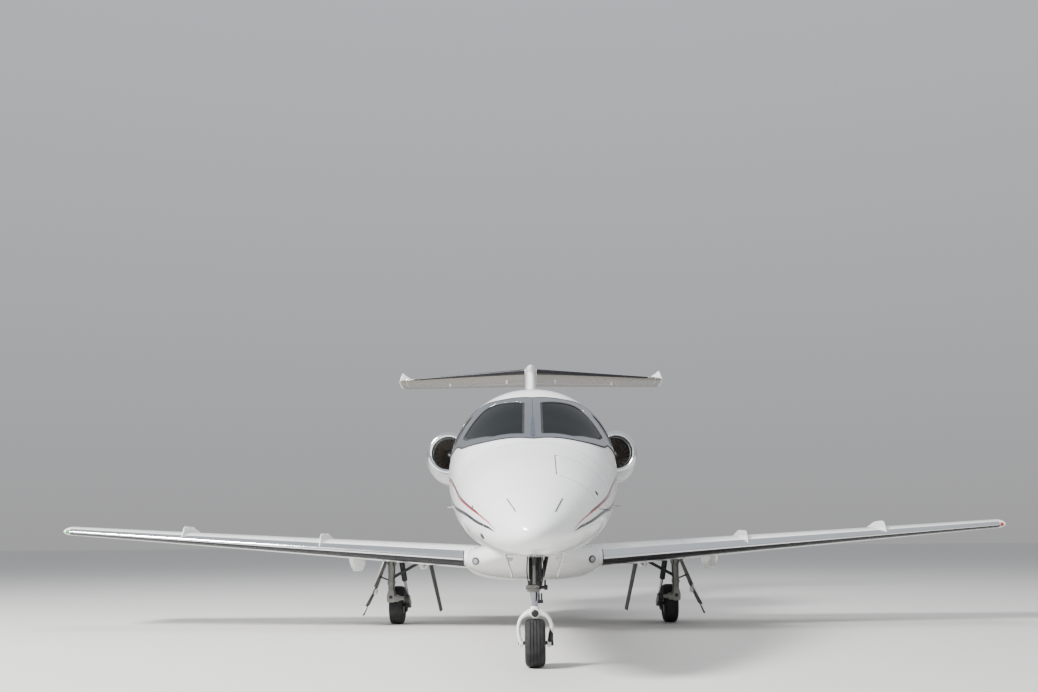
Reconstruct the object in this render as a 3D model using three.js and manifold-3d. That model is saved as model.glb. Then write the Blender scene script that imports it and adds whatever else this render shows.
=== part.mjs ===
/*
 * A light business jet with two engines and a T-tail, parked on its gear, as an assembly of named pieces.
 *
 * Millimetres. +Z is up, the nose points to -Y, and the port (left) side is +X. The origin is on the
 * ground below the middle of the length. Places along the length are stations, counted aft from the tip
 * of the nose. Pieces that come in pairs are made for the port side and mirrored.
 */
import * as THREE from 'three';
import { mergeVertices } from 'three/addons/utils/BufferGeometryUtils.js';
import Module from 'manifold-3d';

const wasm = await Module();
wasm.setup();

// Driving dimensions
const LENGTH = 12820;
const HALF_SPAN = 6150;
const TAIL_HALF_SPAN = 2526;
const HEIGHT = 4350;
const GAP = 0.3;
const PANEL_GAP = 6;
const HINGE_GAP = 7;
const HINGE_SIDES = 14;

// Finishes: colour, roughness and metalness
const FINISHES = {
  white: { color: 0xe9e8e4, roughness: 0.25, metalness: 0.1 },
  polished: { color: 0xc4c6c8, roughness: 0.15, metalness: 0.95 },
  grey: { color: 0x8f918f, roughness: 0.45, metalness: 0.4 },
  dark: { color: 0x2a2a2c, roughness: 0.6, metalness: 0.3 },
  rubber: { color: 0x17171a, roughness: 0.9, metalness: 0.0 },
  glass: { color: 0x20272c, roughness: 0.08, metalness: 0.0, transparent: true, opacity: 0.45 },
  leather: { color: 0xb9a88c, roughness: 0.7, metalness: 0.0 },
  carpet: { color: 0x6d675d, roughness: 0.95, metalness: 0.0 },
};

/** Y of a station. */
const along = (station) => station - LENGTH / 2;

/** A point from its X, station and height. */
const at = (x, station, z) => new THREE.Vector3(x, along(station), z);

// Solids: closed meshes that can be joined and cut

/** The closed solid that a geometry bounds, whichever way its faces point. */
function solid(geometry) {
  const bare = geometry.clone();
  bare.deleteAttribute('normal');
  bare.deleteAttribute('uv');
  const merged = mergeVertices(bare, 1e-3);
  const points = merged.getAttribute('position').array;
  const corners = merged.index.array;
  const faces = [];
  let volume = 0;
  for (let i = 0; i < corners.length; i += 3) {
    const [a, b, c] = [corners[i], corners[i + 1], corners[i + 2]];
    if (a === b || b === c || c === a) continue;
    faces.push(a, b, c);
    const [p, q, r] = [a, b, c].map((n) => new THREE.Vector3().fromArray(points, 3 * n));
    volume += p.dot(q.cross(r));
  }
  if (volume < 0) faces.reverse();
  return new wasm.Manifold(new wasm.Mesh({
    numProp: 3, vertProperties: Float32Array.from(points), triVerts: Uint32Array.from(faces),
  }));
}

/** The geometry of a solid. */
function geometryOf(body) {
  const mesh = body.getMesh();
  const geometry = new THREE.BufferGeometry();
  geometry.setAttribute('position', new THREE.BufferAttribute(mesh.vertProperties, 3));
  geometry.setIndex(new THREE.BufferAttribute(mesh.triVerts, 1));
  return geometry;
}

/** The same solid on the other side of the centre plane. */
function mirrored(body) {
  return solid(geometryOf(body).applyMatrix4(new THREE.Matrix4().makeScale(-1, 1, 1)));
}

const joined = (...bodies) => bodies.reduce((whole, body) => whole.add(body));
const without = (body, ...cutters) => cutters.reduce((left, cutter) => left.subtract(cutter), body);

/** A surface through rings of points, closed at both ends. The rings lie across the named axis. */
function loft(rings, axis) {
  const flat = { x: (p) => [p.y, p.z], y: (p) => [p.x, p.z], z: (p) => [p.x, p.y] }[axis];
  const count = rings[0].length;
  const points = rings.flat();
  const faces = [];
  for (let i = 0; i + 1 < rings.length; i += 1) {
    for (let j = 0; j < count; j += 1) {
      const [a, b] = [i * count + j, i * count + (j + 1) % count];
      faces.push(a, b, b + count, a, b + count, a + count);
    }
  }
  const cap = (ring, first, turned) => {
    const outline = ring.map((p) => new THREE.Vector2(...flat(p)));
    const area = THREE.ShapeUtils.area(outline);
    if (Math.abs(area) < 1e-6) return;
    for (const [a, b, c] of THREE.ShapeUtils.triangulateShape(outline, [])) {
      const alongRing = THREE.ShapeUtils.area([outline[a], outline[b], outline[c]]) * area > 0;
      faces.push(...(alongRing === turned ? [a, c, b] : [a, b, c]).map((n) => n + first));
    }
  };
  cap(rings[0], 0, true);
  cap(rings.at(-1), (rings.length - 1) * count, false);
  const geometry = new THREE.BufferGeometry().setFromPoints(points);
  geometry.setIndex(faces);
  return solid(geometry);
}

/** A prism: an outline in the plane across an axis, from one place to another along that axis. */
function prism(outline, axis, from, to) {
  const place = {
    x: (a, b, t) => at(t, a, b),
    y: (a, b, t) => at(a, t, b),
    z: (a, b, t) => at(a, b, t),
  }[axis];
  return loft([from, to].map((t) => outline.map(([a, b]) => place(a, b, t))), axis);
}

/** A box between two X, two stations and two heights. */
function box(x0, x1, from, to, z0, z1) {
  const geometry = new THREE.BoxGeometry(x1 - x0, to - from, z1 - z0);
  return solid(geometry.translate((x0 + x1) / 2, along((from + to) / 2), (z0 + z1) / 2));
}

/** A round bar between two points, with a radius at each end. */
function rod(from, to, radius, endRadius = radius, sides = 10) {
  const way = to.clone().sub(from);
  const geometry = new THREE.CylinderGeometry(endRadius, radius, way.length(), sides);
  const turn = new THREE.Quaternion().setFromUnitVectors(new THREE.Vector3(0, 1, 0), way.clone().normalize());
  geometry.applyQuaternion(turn);
  const middle = from.clone().lerp(to, 0.5);
  return solid(geometry.translate(middle.x, middle.y, middle.z));
}

/** A profile of [radius, distance along X] turned about a line along X through a centre. */
function turnedAboutX(profile, centre, sides) {
  const outline = profile.map(([radius, distance]) => new THREE.Vector2(radius, distance));
  const geometry = new THREE.LatheGeometry(outline, sides);
  geometry.rotateZ(-Math.PI / 2);
  return solid(geometry.translate(centre.x, centre.y, centre.z));
}

/** An outline drawn inwards by a distance, for a piece that sits in a hole of that outline. */
function drawnIn(outline, distance) {
  const count = outline.length;
  const points = outline.map((p) => new THREE.Vector2(...p));
  const inward = Math.sign(THREE.ShapeUtils.area(points));
  return points.map((p, i) => {
    const before = p.clone().sub(points[(i + count - 1) % count]).normalize();
    const after = points[(i + 1) % count].clone().sub(p).normalize();
    const middle = before.clone().add(after).normalize();
    const reach = distance / Math.max(0.5, middle.dot(before));
    return [p.x - middle.y * inward * reach, p.y + middle.x * inward * reach];
  });
}

/** A frame on a hinge: its X runs from one hinge point to the other, and its Y points aft. */
function hingeFrame(from, to) {
  const x = to.clone().sub(from).normalize();
  const y = new THREE.Vector3(0, 1, 0).addScaledVector(x, -x.y).normalize();
  const z = x.clone().cross(y);
  return new THREE.Matrix4().makeBasis(x, y, z).setPosition(from);
}

/** A smooth curve through values at rising places that never overshoots them. */
function monotone(places, values) {
  const steps = places.slice(1).map((p, i) => (values[i + 1] - values[i]) / (p - places[i]));
  const slopes = places.map((_, i) => {
    if (i === 0) return steps[0];
    if (i === places.length - 1) return steps.at(-1);
    const [a, b] = [steps[i - 1], steps[i]];
    return a * b <= 0 ? 0 : (2 * a * b) / (a + b);
  });
  return (place) => {
    const found = places.findIndex((p) => p >= place);
    const i = Math.max(0, (found < 0 ? places.length : found) - 1);
    const k = Math.min(i, places.length - 2);
    const h = places[k + 1] - places[k];
    const t = (place - places[k]) / h;
    return (2 * t ** 3 - 3 * t ** 2 + 1) * values[k] + (t ** 3 - 2 * t ** 2 + t) * h * slopes[k]
      + (3 * t ** 2 - 2 * t ** 3) * values[k + 1] + (t ** 3 - t ** 2) * h * slopes[k + 1];
  };
}

// Fuselage surface

const BODY = [
  // station, half width, top, bottom, height of the widest point
  [0, 0, 1120, 1120, 1120],
  [60, 128, 1212, 1036, 1120],
  [250, 262, 1335, 972, 1135],
  [600, 425, 1520, 944, 1195],
  [1100, 590, 1740, 933, 1300],
  [1750, 728, 1985, 925, 1450],
  [2250, 800, 2227, 919, 1580],
  [2850, 862, 2520, 912, 1700],
  [3300, 889, 2690, 906, 1765],
  [3700, 898, 2730, 902, 1785],
  [4300, 900, 2735, 900, 1790],
  [7000, 900, 2735, 900, 1790],
  [7900, 850, 2728, 965, 1830],
  [8900, 725, 2700, 1170, 1920],
  [9900, 545, 2665, 1460, 2050],
  [10800, 372, 2610, 1765, 2180],
  [11600, 228, 2530, 2045, 2285],
  [12100, 120, 2460, 2235, 2345],
  [12250, 0, 2350, 2350, 2350],
];
const BODY_SECTIONS = [
  12, 60, 150, 300, 560, 850, 1200, 1700, 1950, 2200, 2500, 2800, 3100, 3450, 4150,
  7150, 7600, 8200, 8900, 9900, 10700, 11400, 11900, 12150,
];
const CAVITY_SECTIONS = [1200, 1700, 2200, 2800, 3450, 7150, 8200, 9900, 10700];
const BODY_SIDES = 28;
const CAVITY_SIDES = 20;
const FULLNESS = 2.1;
const NOSE_JOINT = 560;
const COCKPIT_JOINT = 1700;
const CABIN_JOINT = 4150;
const REAR_JOINT = 7150;
const TAIL_JOINT = 9900;
const BODY_END = 12250;
const WALL = 90;
const NOSE_WALL = 60;
const REAR_WALL = 60;
const TAIL_WALL = 40;

// The nose is blunt, so the curves run over the root of the station
const ROOTS = BODY.map(([station]) => Math.sqrt(station));
const BODY_CURVES = [1, 2, 3, 4].map((column) => monotone(ROOTS, BODY.map((row) => row[column])));

/** Half width, top, bottom and widest height of the body at a station. */
function bodyAt(station) {
  const [halfWidth, top, bottom, widest] = BODY_CURVES.map((curve) => curve(Math.sqrt(station)));
  return { halfWidth, top, bottom, widest };
}

/** The body's section at a station, drawn in by an inset: an upper and a lower half superellipse. */
function bodyRing(station, inset = 0, sides = BODY_SIDES) {
  const { halfWidth, top, bottom, widest } = bodyAt(station);
  const power = (value) => Math.sign(value) * Math.abs(value) ** (2 / FULLNESS);
  return Array.from({ length: sides }, (_, i) => {
    const angle = (2 * Math.PI * i) / sides;
    const [across, upward] = [Math.cos(angle), Math.sin(angle)];
    const height = upward >= 0 ? top - widest : widest - bottom;
    const x = Math.max(halfWidth - inset, 0) * power(across);
    return at(x, station, widest + Math.max(height - inset, 0) * power(upward));
  });
}

/** The section of the faceted body: between two of its sections the skin is straight. */
function facetedRing(station, inset) {
  const sections = [0, ...BODY_SECTIONS, BODY_END];
  const next = Math.max(1, sections.findIndex((s) => s >= station));
  const [front, back] = [sections[next - 1], sections[next]];
  const share = (station - front) / (back - front);
  const rear = bodyRing(back, inset);
  return bodyRing(front, inset).map((p, i) => p.lerp(rear[i], share));
}

/** The body between two stations, drawn in by an inset. */
function bodyLoft(from, to, inset = 0) {
  const stations = [from, ...BODY_SECTIONS.filter((s) => s > from + 1 && s < to - 1), to];
  return loft(stations.map((station) => facetedRing(station, inset)), 'y');
}

/** A hollow of the body: the same shape, plainer, because it shows only from inside. */
function bodyHollow(from, to, inset) {
  const stations = [from, ...CAVITY_SECTIONS.filter((s) => s > from + 10 && s < to - 10), to];
  return loft(stations.map((station) => bodyRing(station, inset, CAVITY_SIDES)), 'y');
}

/** The body's skin between two insets and two stations. */
const skin = (from, to, outer, inner) => without(bodyLoft(from, to, outer), bodyLoft(from - 5, to + 5, inner));

/** X of the body's side at a station and a height. */
function sideAt(station, z) {
  const { halfWidth, top, bottom, widest } = bodyAt(station);
  const rise = z >= widest ? (z - widest) / (top - widest) : (widest - z) / (widest - bottom);
  return halfWidth * (1 - rise ** FULLNESS) ** (1 / FULLNESS);
}

/** Height of the body's upper skin at a station and an X. */
function roofAt(station, x) {
  const { halfWidth, top, widest } = bodyAt(station);
  return widest + (top - widest) * (1 - (x / halfWidth) ** FULLNESS) ** (1 / FULLNESS);
}

// Window and door outlines on the body

// Windshield pane, port: X and station, seen from above
const WINDSHIELD = [
  [80, 1935], [385, 2030], [560, 2235], [662, 2425], [706, 2622], [610, 2800], [520, 2925],
  [440, 2945], [350, 2905], [80, 2752],
];
const WINDSHIELD_FLOOR = 1850;
// Cockpit side window: station and height, seen from the side
const COCKPIT_SIDE = [[2760, 2050], [3120, 2010], [3165, 2070], [3150, 2330], [3095, 2405], [3010, 2330]];
const PANE_TOP = 5;
const PANE_BOTTOM = 24;
const STRIP_INSET = 14;
const CABIN_WINDOW = { halfLength: 160, halfHeight: 205, height: 2010, fullness: 3, points: 12 };
const CABIN_WINDOW_STATIONS = [4420, 5110, 5800, 6490];
const EXIT_WINDOW = 2;
const EXIT = { from: 5540, to: 6060, bottom: 1560, top: 2340 };
const AIRSTAIR = { from: 3280, to: 3900, bottom: 1100, top: 2430 };
const NOSE_BAY = { from: 760, to: 1560, floor: 1290 };
const NOSE_HATCH = { from: 860, to: 1370, inner: 190, bottom: 1330 };
const AFT_BAY = { from: 7270, to: 8500 };
const AFT_HATCH = { from: 7480, to: 8120, bottom: 1240, top: 1790 };
const NOSE_WELL = { halfWidth: 190, from: 1085, to: 1640, roof: 1225 };
// Room kept clear of the lining behind the entry door
const VESTIBULE = { halfWidth: 552, from: 3398, to: 4002, bottom: 1168, top: 2312 };

/** A cabin window's outline about its station, as station and height. */
function cabinWindow(station) {
  const { halfLength, halfHeight, height, fullness, points } = CABIN_WINDOW;
  const power = (value) => Math.sign(value) * Math.abs(value) ** (2 / fullness);
  return Array.from({ length: points }, (_, i) => {
    const angle = (2 * Math.PI * (i + 0.5)) / points;
    return [station + halfLength * power(Math.cos(angle)), height + halfHeight * power(Math.sin(angle))];
  });
}

/** A box that cuts the port wall over the outline of a door, drawn in by a margin. */
const doorway = ({ from, to, bottom, top }, margin = 0) => (
  box(300, 1100, from + margin, to - margin, bottom + margin, top - margin)
);

/** The aft hatch's opening, drawn in by a margin. It is square to its hinge, which follows the tapering side. */
function aftHatchway(margin = 0) {
  const { from, to, bottom, top } = AFT_HATCH;
  const [front, rear] = [from, to].map((station) => sideAt(station, top));
  const block = new THREE.BoxGeometry(900, to - from - 2 * margin, top - bottom - 2 * margin);
  block.rotateZ(Math.atan2(front - rear, to - from));
  return solid(block.translate((front + rear) / 2, along((from + to) / 2), (top + bottom) / 2));
}

/** The nose hatch's opening, drawn in by a margin. Its front and rear edges are square to its hinge line. */
function noseHatchway(margin = 0) {
  const { from, to, inner, bottom } = NOSE_HATCH;
  const hinge = [from, to].map((station) => new THREE.Vector2(station, roofAt(station, inner)));
  const way = hinge[1].clone().sub(hinge[0]).normalize();
  const down = new THREE.Vector2(way.y, -way.x);
  const [front, rear] = hinge.map((p, i) => p.clone().addScaledVector(way, i ? -margin : margin));
  const below = (p) => p.clone().addScaledVector(down, (p.y - bottom - margin) / way.x);
  const above = (p) => p.clone().addScaledVector(down, -500);
  const outline = [above(front), above(rear), below(rear), below(front)].map((p) => p.toArray());
  return prism(outline, 'x', inner + margin, 900);
}

const radome = () => bodyLoft(0, NOSE_JOINT - GAP / 2);

function fuselageNose() {
  const baggage = bodyHollow(NOSE_BAY.from, NOSE_BAY.to, NOSE_WALL)
    .intersect(box(-900, 900, NOSE_BAY.from - 10, NOSE_BAY.to + 10, NOSE_BAY.floor, 2200));
  const { halfWidth, from, to, roof } = NOSE_WELL;
  const well = box(-halfWidth, halfWidth, from, to, 700, roof);
  return without(bodyLoft(NOSE_JOINT + GAP / 2, COCKPIT_JOINT - GAP / 2), baggage, well, noseHatchway());
}

function vestibule() {
  const { halfWidth, from, to, bottom, top } = VESTIBULE;
  return box(-halfWidth, halfWidth, from, to, bottom, top);
}

function fuselageForward() {
  const shell = bodyLoft(COCKPIT_JOINT + GAP / 2, CABIN_JOINT - GAP / 2);
  const cockpit = bodyHollow(COCKPIT_JOINT + 40, CABIN_JOINT + 50, WALL);
  const windshield = prism(WINDSHIELD, 'z', WINDSHIELD_FLOOR, 2700);
  const side = prism(COCKPIT_SIDE, 'x', 500, 1000);
  return without(
    shell, cockpit, vestibule(), windshield, mirrored(windshield), side, mirrored(side), doorway(AIRSTAIR),
  );
}

function fuselageCentre() {
  const shell = bodyLoft(CABIN_JOINT + GAP / 2, REAR_JOINT - GAP / 2)
    .subtract(bodyHollow(CABIN_JOINT - 50, REAR_JOINT + 50, WALL));
  const holes = CABIN_WINDOW_STATIONS.map((station) => prism(cabinWindow(station), 'x', 500, 1100));
  const exit = mirrored(box(400, 1100, EXIT.from, EXIT.to, EXIT.bottom, EXIT.top));
  return without(shell, ...holes, ...holes.map(mirrored), exit);
}

function fuselageRear() {
  const shell = bodyLoft(REAR_JOINT + GAP / 2, TAIL_JOINT - GAP / 2);
  const bay = bodyHollow(AFT_BAY.from, AFT_BAY.to, REAR_WALL);
  const hollow = bodyHollow(AFT_BAY.to + 40, TAIL_JOINT + 30, REAR_WALL);
  return without(shell, bay, hollow, aftHatchway());
}

function tailCone() {
  return without(bodyLoft(TAIL_JOINT + GAP / 2, BODY_END), bodyHollow(TAIL_JOINT - 30, 11500, TAIL_WALL));
}

/** A panel of the body's wall inside an outline. */
const wallPanel = (from, to, thickness, outline) => skin(from - 40, to + 40, 0, thickness).intersect(outline);

function airstairDoor() {
  const { from, to, bottom } = AIRSTAIR;
  const panel = wallPanel(from, to, WALL, doorway(AIRSTAIR, PANEL_GAP)).subtract(vestibule());
  const steps = [0, 1, 2].map((n) => {
    const z = bottom + 330 + n * 300;
    const wall = sideAt(3600, z) - WALL;
    return box(wall - 150, wall + 30, from + 90, to - 90, z, z + 28);
  });
  return joined(panel, ...steps);
}

const noseBaggageDoor = () => wallPanel(
  NOSE_HATCH.from, NOSE_BAY.to, NOSE_WALL - 15, noseHatchway(PANEL_GAP),
);
const aftBaggageDoor = () => wallPanel(
  AFT_HATCH.from, AFT_HATCH.to, REAR_WALL - 15, aftHatchway(PANEL_GAP),
);

function emergencyExit() {
  const { from, to, bottom, top } = EXIT;
  const plug = wallPanel(from, to, WALL, box(400, 1100, from + 1, to - 1, bottom + 1, top - 1));
  const hole = prism(cabinWindow(CABIN_WINDOW_STATIONS[EXIT_WINDOW]), 'x', 500, 1100);
  return mirrored(plug.subtract(hole));
}

function windshieldPane() {
  const pane = prism(drawnIn(WINDSHIELD, 1.5), 'z', WINDSHIELD_FLOOR, 2700);
  return skin(1800, 3060, PANE_TOP, PANE_BOTTOM).intersect(pane);
}

function cockpitSidePane() {
  const pane = prism(drawnIn(COCKPIT_SIDE, 1.5), 'x', 500, 1000);
  return skin(2700, 3250, PANE_TOP, PANE_BOTTOM).intersect(pane);
}

/** The panes of one side, joined by a thin strip behind the wall. */
function cabinWindows() {
  const stations = CABIN_WINDOW_STATIONS;
  const { height, halfLength } = CABIN_WINDOW;
  const wall = skin(stations[0] - 300, stations.at(-1) + 300, PANE_TOP, WALL + STRIP_INSET + 10);
  const panes = stations.map((s) => wall.intersect(prism(drawnIn(cabinWindow(s), 1.5), 'x', 500, 1100)));
  const strip = skin(stations[0] - 300, stations.at(-1) + 300, WALL + STRIP_INSET, WALL + STRIP_INSET + 10)
    .intersect(box(500, 1100, stations[0] - halfLength / 2, stations.at(-1) + halfLength / 2, height - 40, height + 40));
  return joined(strip, ...panes);
}

// Belly fairing that carries the wings

const FAIRING = [
  // station, half width, top, bottom
  [4600, 260, 1000, 900],
  [4850, 500, 1030, 812],
  [5150, 735, 1065, 710],
  [5450, 850, 1085, 635],
  [6000, 862, 1090, 582],
  [6900, 862, 1090, 585],
  [7400, 840, 1090, 640],
  [7900, 720, 1100, 770],
  [8350, 520, 1130, 925],
  [8700, 260, 1180, 1090],
];
const FAIRING_FULLNESS = 2.7;
const FAIRING_SIDES = 20;

function fairingLoft(margin = 0) {
  const power = (value) => Math.sign(value) * Math.abs(value) ** (2 / FAIRING_FULLNESS);
  return loft(FAIRING.map(([station, halfWidth, top, bottom]) => (
    Array.from({ length: FAIRING_SIDES }, (_, i) => {
      const angle = (2 * Math.PI * i) / FAIRING_SIDES;
      const z = (top + bottom) / 2 + ((top - bottom) / 2 + margin) * power(Math.sin(angle));
      return at((halfWidth + margin) * power(Math.cos(angle)), station, z);
    })
  )), 'y');
}

const BODY_CLEARANCE = bodyLoft(0, BODY_END, -1);
const FAIRING_CLEARANCE = fairingLoft(1);
const bellyFairing = () => fairingLoft().subtract(BODY_CLEARANCE);

// Wings

const WING_ROOT = { x: 860, nose: 5370, chord: 1950, z: 872, thickness: 0.15 };
const WING_TIP = { x: 6100, nose: 5886, chord: 950, z: 1250, thickness: 0.115 };
const WING_INNER_X = 690;
const WING_CAMBER = 0.02;
const WING_INCIDENCE = 0.02;
const EDGE_THICKNESS = 7;
const PROFILE_STEPS = 7;

/** Half thickness of a wing section as a share of its chord, at a share x of the chord. */
const halfThickness = (x, thickness) => (
  5 * thickness * (0.2969 * Math.sqrt(x) - 0.126 * x - 0.3516 * x ** 2 + 0.2843 * x ** 3 - 0.1036 * x ** 4)
);

/** A section as shares of the chord, [aft, up], over the upper side from the trailing edge and back below. */
function profile(chord, thickness, camber, incidence) {
  const places = Array.from({ length: PROFILE_STEPS + 1 }, (_, i) => (
    (1 - Math.cos((Math.PI * i) / PROFILE_STEPS)) / 2
  ));
  const point = (x, side) => {
    const middle = 4 * camber * x * (1 - x) - incidence * x;
    return [x, middle + side * (halfThickness(x, thickness) + (x * EDGE_THICKNESS) / 2 / chord)];
  };
  return [...places.toReversed().map((x) => point(x, 1)), ...places.slice(1).map((x) => point(x, -1))];
}

/** The wing's measures at an X, on straight lines between root and tip. */
function wingAt(x) {
  const share = (x - WING_ROOT.x) / (WING_TIP.x - WING_ROOT.x);
  const mix = (key) => WING_ROOT[key] + (WING_TIP[key] - WING_ROOT[key]) * share;
  return { x, nose: mix('nose'), chord: mix('chord'), z: mix('z'), thickness: mix('thickness') };
}

function wingRing({ x, nose, chord, z, thickness }) {
  return profile(chord, thickness, WING_CAMBER, WING_INCIDENCE)
    .map(([aft, up]) => at(x, nose + aft * chord, z + up * chord));
}

/** A point on the wing's upper (1), middle (0) or lower (-1) surface at an X and a share of the chord. */
function onWing(x, share, side) {
  const { nose, chord, z, thickness } = wingAt(x);
  const middle = 4 * WING_CAMBER * share * (1 - share) - WING_INCIDENCE * share;
  return at(x, nose + share * chord, z + chord * (middle + side * halfThickness(share, thickness)));
}

/** The tip closes in a short round cap. */
function tipRing(x, shrink, thin) {
  const tip = wingAt(WING_TIP.x);
  return wingRing({
    ...tip, x, nose: tip.nose + (tip.chord * (1 - shrink)) * 0.7, chord: tip.chord * shrink,
    thickness: (tip.thickness * thin) / shrink,
  });
}

const WING_SOLID = loft([
  ...[WING_INNER_X, 2800, 4500, WING_TIP.x].map((x) => wingRing(wingAt(x))),
  tipRing(6130, 0.94, 0.75), tipRing(HALF_SPAN, 0.8, 0.28),
], 'x');

const AILERON = { inner: 3960, outer: 5820, share: 0.76 };
const FLAP = { inner: 930, outer: 3800, share: 0.775, drop: 215 };
const FLAP_FAIRINGS = [
  // X, half width, lowest height, radius of the fixed part's end about the pivot
  [1480, 60, 716, 60],
  [2370, 84, 694, 112],
];
const FENCES = [2710, 4520];
const FENCE = { height: 100, length: 1200, thickness: 9, start: 0.006, limit: 0.74 };
const WHEEL_BAY = { from: 6350, to: 6862, inner: 930, outer: 1400, depth: 150 };

const AILERON_HINGE = [onWing(AILERON.inner, AILERON.share, 0), onWing(AILERON.outer, AILERON.share, 0)];
const FLAP_NOSE = [onWing(FLAP.inner, FLAP.share, 0), onWing(FLAP.outer, FLAP.share, 0)];
const FLAP_HINGE = FLAP_NOSE.map((p) => p.clone().setZ(p.z - FLAP.drop));

/** The region aft of a hinge line, between planes square to it, and its rounded nose. */
function hingeRegion([from, to], noseRadii, margin) {
  const length = from.distanceTo(to);
  const frame = hingeFrame(from, to);
  const slab = new THREE.BoxGeometry(length + 2 * margin, 3000, 2400).translate(length / 2, 1500, 0);
  const region = solid(slab.applyMatrix4(frame));
  if (!noseRadii) return region;
  const way = to.clone().sub(from).normalize();
  const nose = rod(
    from.clone().addScaledVector(way, -margin), to.clone().addScaledVector(way, margin),
    noseRadii[0] + margin, noseRadii[1] + margin, HINGE_SIDES,
  );
  return region.add(nose);
}

/** Moves a hinge line forward by a distance, for the fixed side of a straight slot. */
const movedForward = (line, distance) => line.map((p) => p.clone().setY(p.y - distance));

const noseRadiiOnWing = ({ inner, outer, share }) => [inner, outer].map((x) => {
  const { chord, thickness } = wingAt(x);
  return halfThickness(share, thickness) * chord + EDGE_THICKNESS / 2;
});

/** A flap-track fairing: a long pod under the wing that carries the flap's pivot. */
function flapFairing([x, halfWidth, lowest, knuckle]) {
  const { nose, chord } = wingAt(x);
  const top = onWing(x, 0.5, 0).z;
  const rows = [
    // share of the chord, share of the half width, share of the depth
    [0.30, 0.25, 0.35],
    [0.40, 0.85, 0.82],
    [0.52, 1.00, 1.00],
    [0.74, 1.00, 1.00],
    [0.99, 0.25, 0.42],
  ];
  const sides = 10;
  const rings = rows.map(([share, wide, deep]) => Array.from({ length: sides }, (_, i) => {
    const angle = (2 * Math.PI * i) / sides;
    const surface = onWing(x, share, 0).z;
    const bottom = top - (top - lowest) * deep;
    const height = Math.max(surface - bottom, 20);
    const [across, up] = [Math.cos(angle), Math.sin(angle)].map((v) => Math.sign(v) * Math.abs(v) ** 0.8);
    return at(x + halfWidth * wide * across, nose + share * chord, surface + (up > 0 ? 4 : height) * up);
  }));
  return { pod: loft(rings, 'y'), x, knuckle };
}

/** The fixed or moving part of a fairing pod. The fixed part ends in a round knuckle about the pivot. */
function fairingPart({ pod, x, knuckle }, moving) {
  const share = (x - FLAP.inner) / (FLAP.outer - FLAP.inner);
  const pivot = FLAP_HINGE[0].clone().lerp(FLAP_HINGE[1], share);
  const reach = FLAP_HINGE[1].clone().sub(FLAP_HINGE[0]).normalize().multiplyScalar(150);
  const round = (radius) => rod(pivot.clone().sub(reach), pivot.clone().add(reach), radius, radius, 24);
  const behind = (distance) => hingeRegion(movedForward(FLAP_NOSE, -distance), null, 0);
  return moving
    ? without(pod.intersect(behind(0)), round(knuckle + 9))
    : joined(pod.subtract(behind(-HINGE_GAP * 2)), pod.intersect(round(knuckle)));
}

function fence(x) {
  const { nose, chord } = wingAt(x);
  const length = Math.min(FENCE.length, FENCE.limit * chord);
  const upper = (distance, lift) => [nose + distance, onWing(x, distance / chord, 1).z + lift];
  const start = FENCE.start * chord;
  const { height } = FENCE;
  const outline = [
    upper(start, -20), upper(start, 12), upper(start + 70, height * 0.9), upper(start + 130, height),
    upper(length * 0.5, height * 0.72), upper(length * 0.8, height * 0.38), upper(length, 4), upper(length, -20),
    upper(length * 0.5, -25),
  ];
  return prism(outline, 'x', x - FENCE.thickness / 2, x + FENCE.thickness / 2);
}

function wheelBay() {
  const { from, to, inner, outer, depth } = WHEEL_BAY;
  const roof = onWing((inner + outer) / 2, 0.6, -1).z + depth;
  return box(inner, outer, from, to, 400, roof);
}

function wing() {
  const pods = FLAP_FAIRINGS.map(flapFairing);
  const whole = joined(WING_SOLID, ...FENCES.map(fence));
  const flapSlot = hingeRegion(movedForward(FLAP_NOSE, HINGE_GAP), null, HINGE_GAP);
  const aileronSlot = hingeRegion(AILERON_HINGE, noseRadiiOnWing(AILERON), HINGE_GAP);
  const cut = without(whole, flapSlot, aileronSlot, wheelBay());
  return joined(cut, ...pods.map((pod) => fairingPart(pod, false)));
}

function flap() {
  const pods = FLAP_FAIRINGS.map(flapFairing);
  const blade = WING_SOLID.intersect(hingeRegion(FLAP_NOSE, null, 0));
  return joined(blade, ...pods.map((pod) => fairingPart(pod, true)));
}

const aileron = () => WING_SOLID.intersect(hingeRegion(AILERON_HINGE, noseRadiiOnWing(AILERON), 0));

// Tail

const FIN = [
  // height, station of the leading edge, station of the trailing edge, thickness
  [2250, 9480, 12020, 235],
  [2550, 9760, 12085, 232],
  [3400, 10550, 12290, 215],
  [4225, 11312, 12484, 198],
];
const DORSAL = [
  // station, top
  [8750, 2640],
  [8850, 2712],
  [9300, 2765],
  [9700, 2830],
  [10350, 3060],
  [10700, 3350],
];
const DORSAL_BASE = 2500;
const DORSAL_EDGE = { halfWidth: 32, crest: 9, shoulder: 52 };
const RUDDER = { bottom: 2640, top: 4010, share: 0.66, slot: 26, overrun: 200 };
const STABILIZER = [
  // X, station of the leading edge, station of the trailing edge, height of the leading edge, thickness,
  // fall from the leading edge to the trailing edge
  [0, 11410, 12600, 4222, 132, 140],
  [2380, 11936, 12735, 4132, 80, 58],
  [2470, 11962, 12735, 4127, 62, 54],
  [TAIL_HALF_SPAN, 12060, 12720, 4119, 20, 46],
];
const ELEVATOR = { inner: 128, outer: 2270, share: 0.68 };
const TAIL_TIP = [
  // X, front station, station of the crest, height of the crest, height of the back's lower edge
  [2296, 12340, 12520, 4150, 4078],
  [2340, 12290, 12515, 4238, 4078],
  [2420, 12200, 12500, 4290, 4076],
  [2500, 12120, 12470, HEIGHT, 4073],
  [TAIL_HALF_SPAN, 12095, 12460, 4300, 4070],
];
const TAIL_TIP_BACK = 12728;
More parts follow.
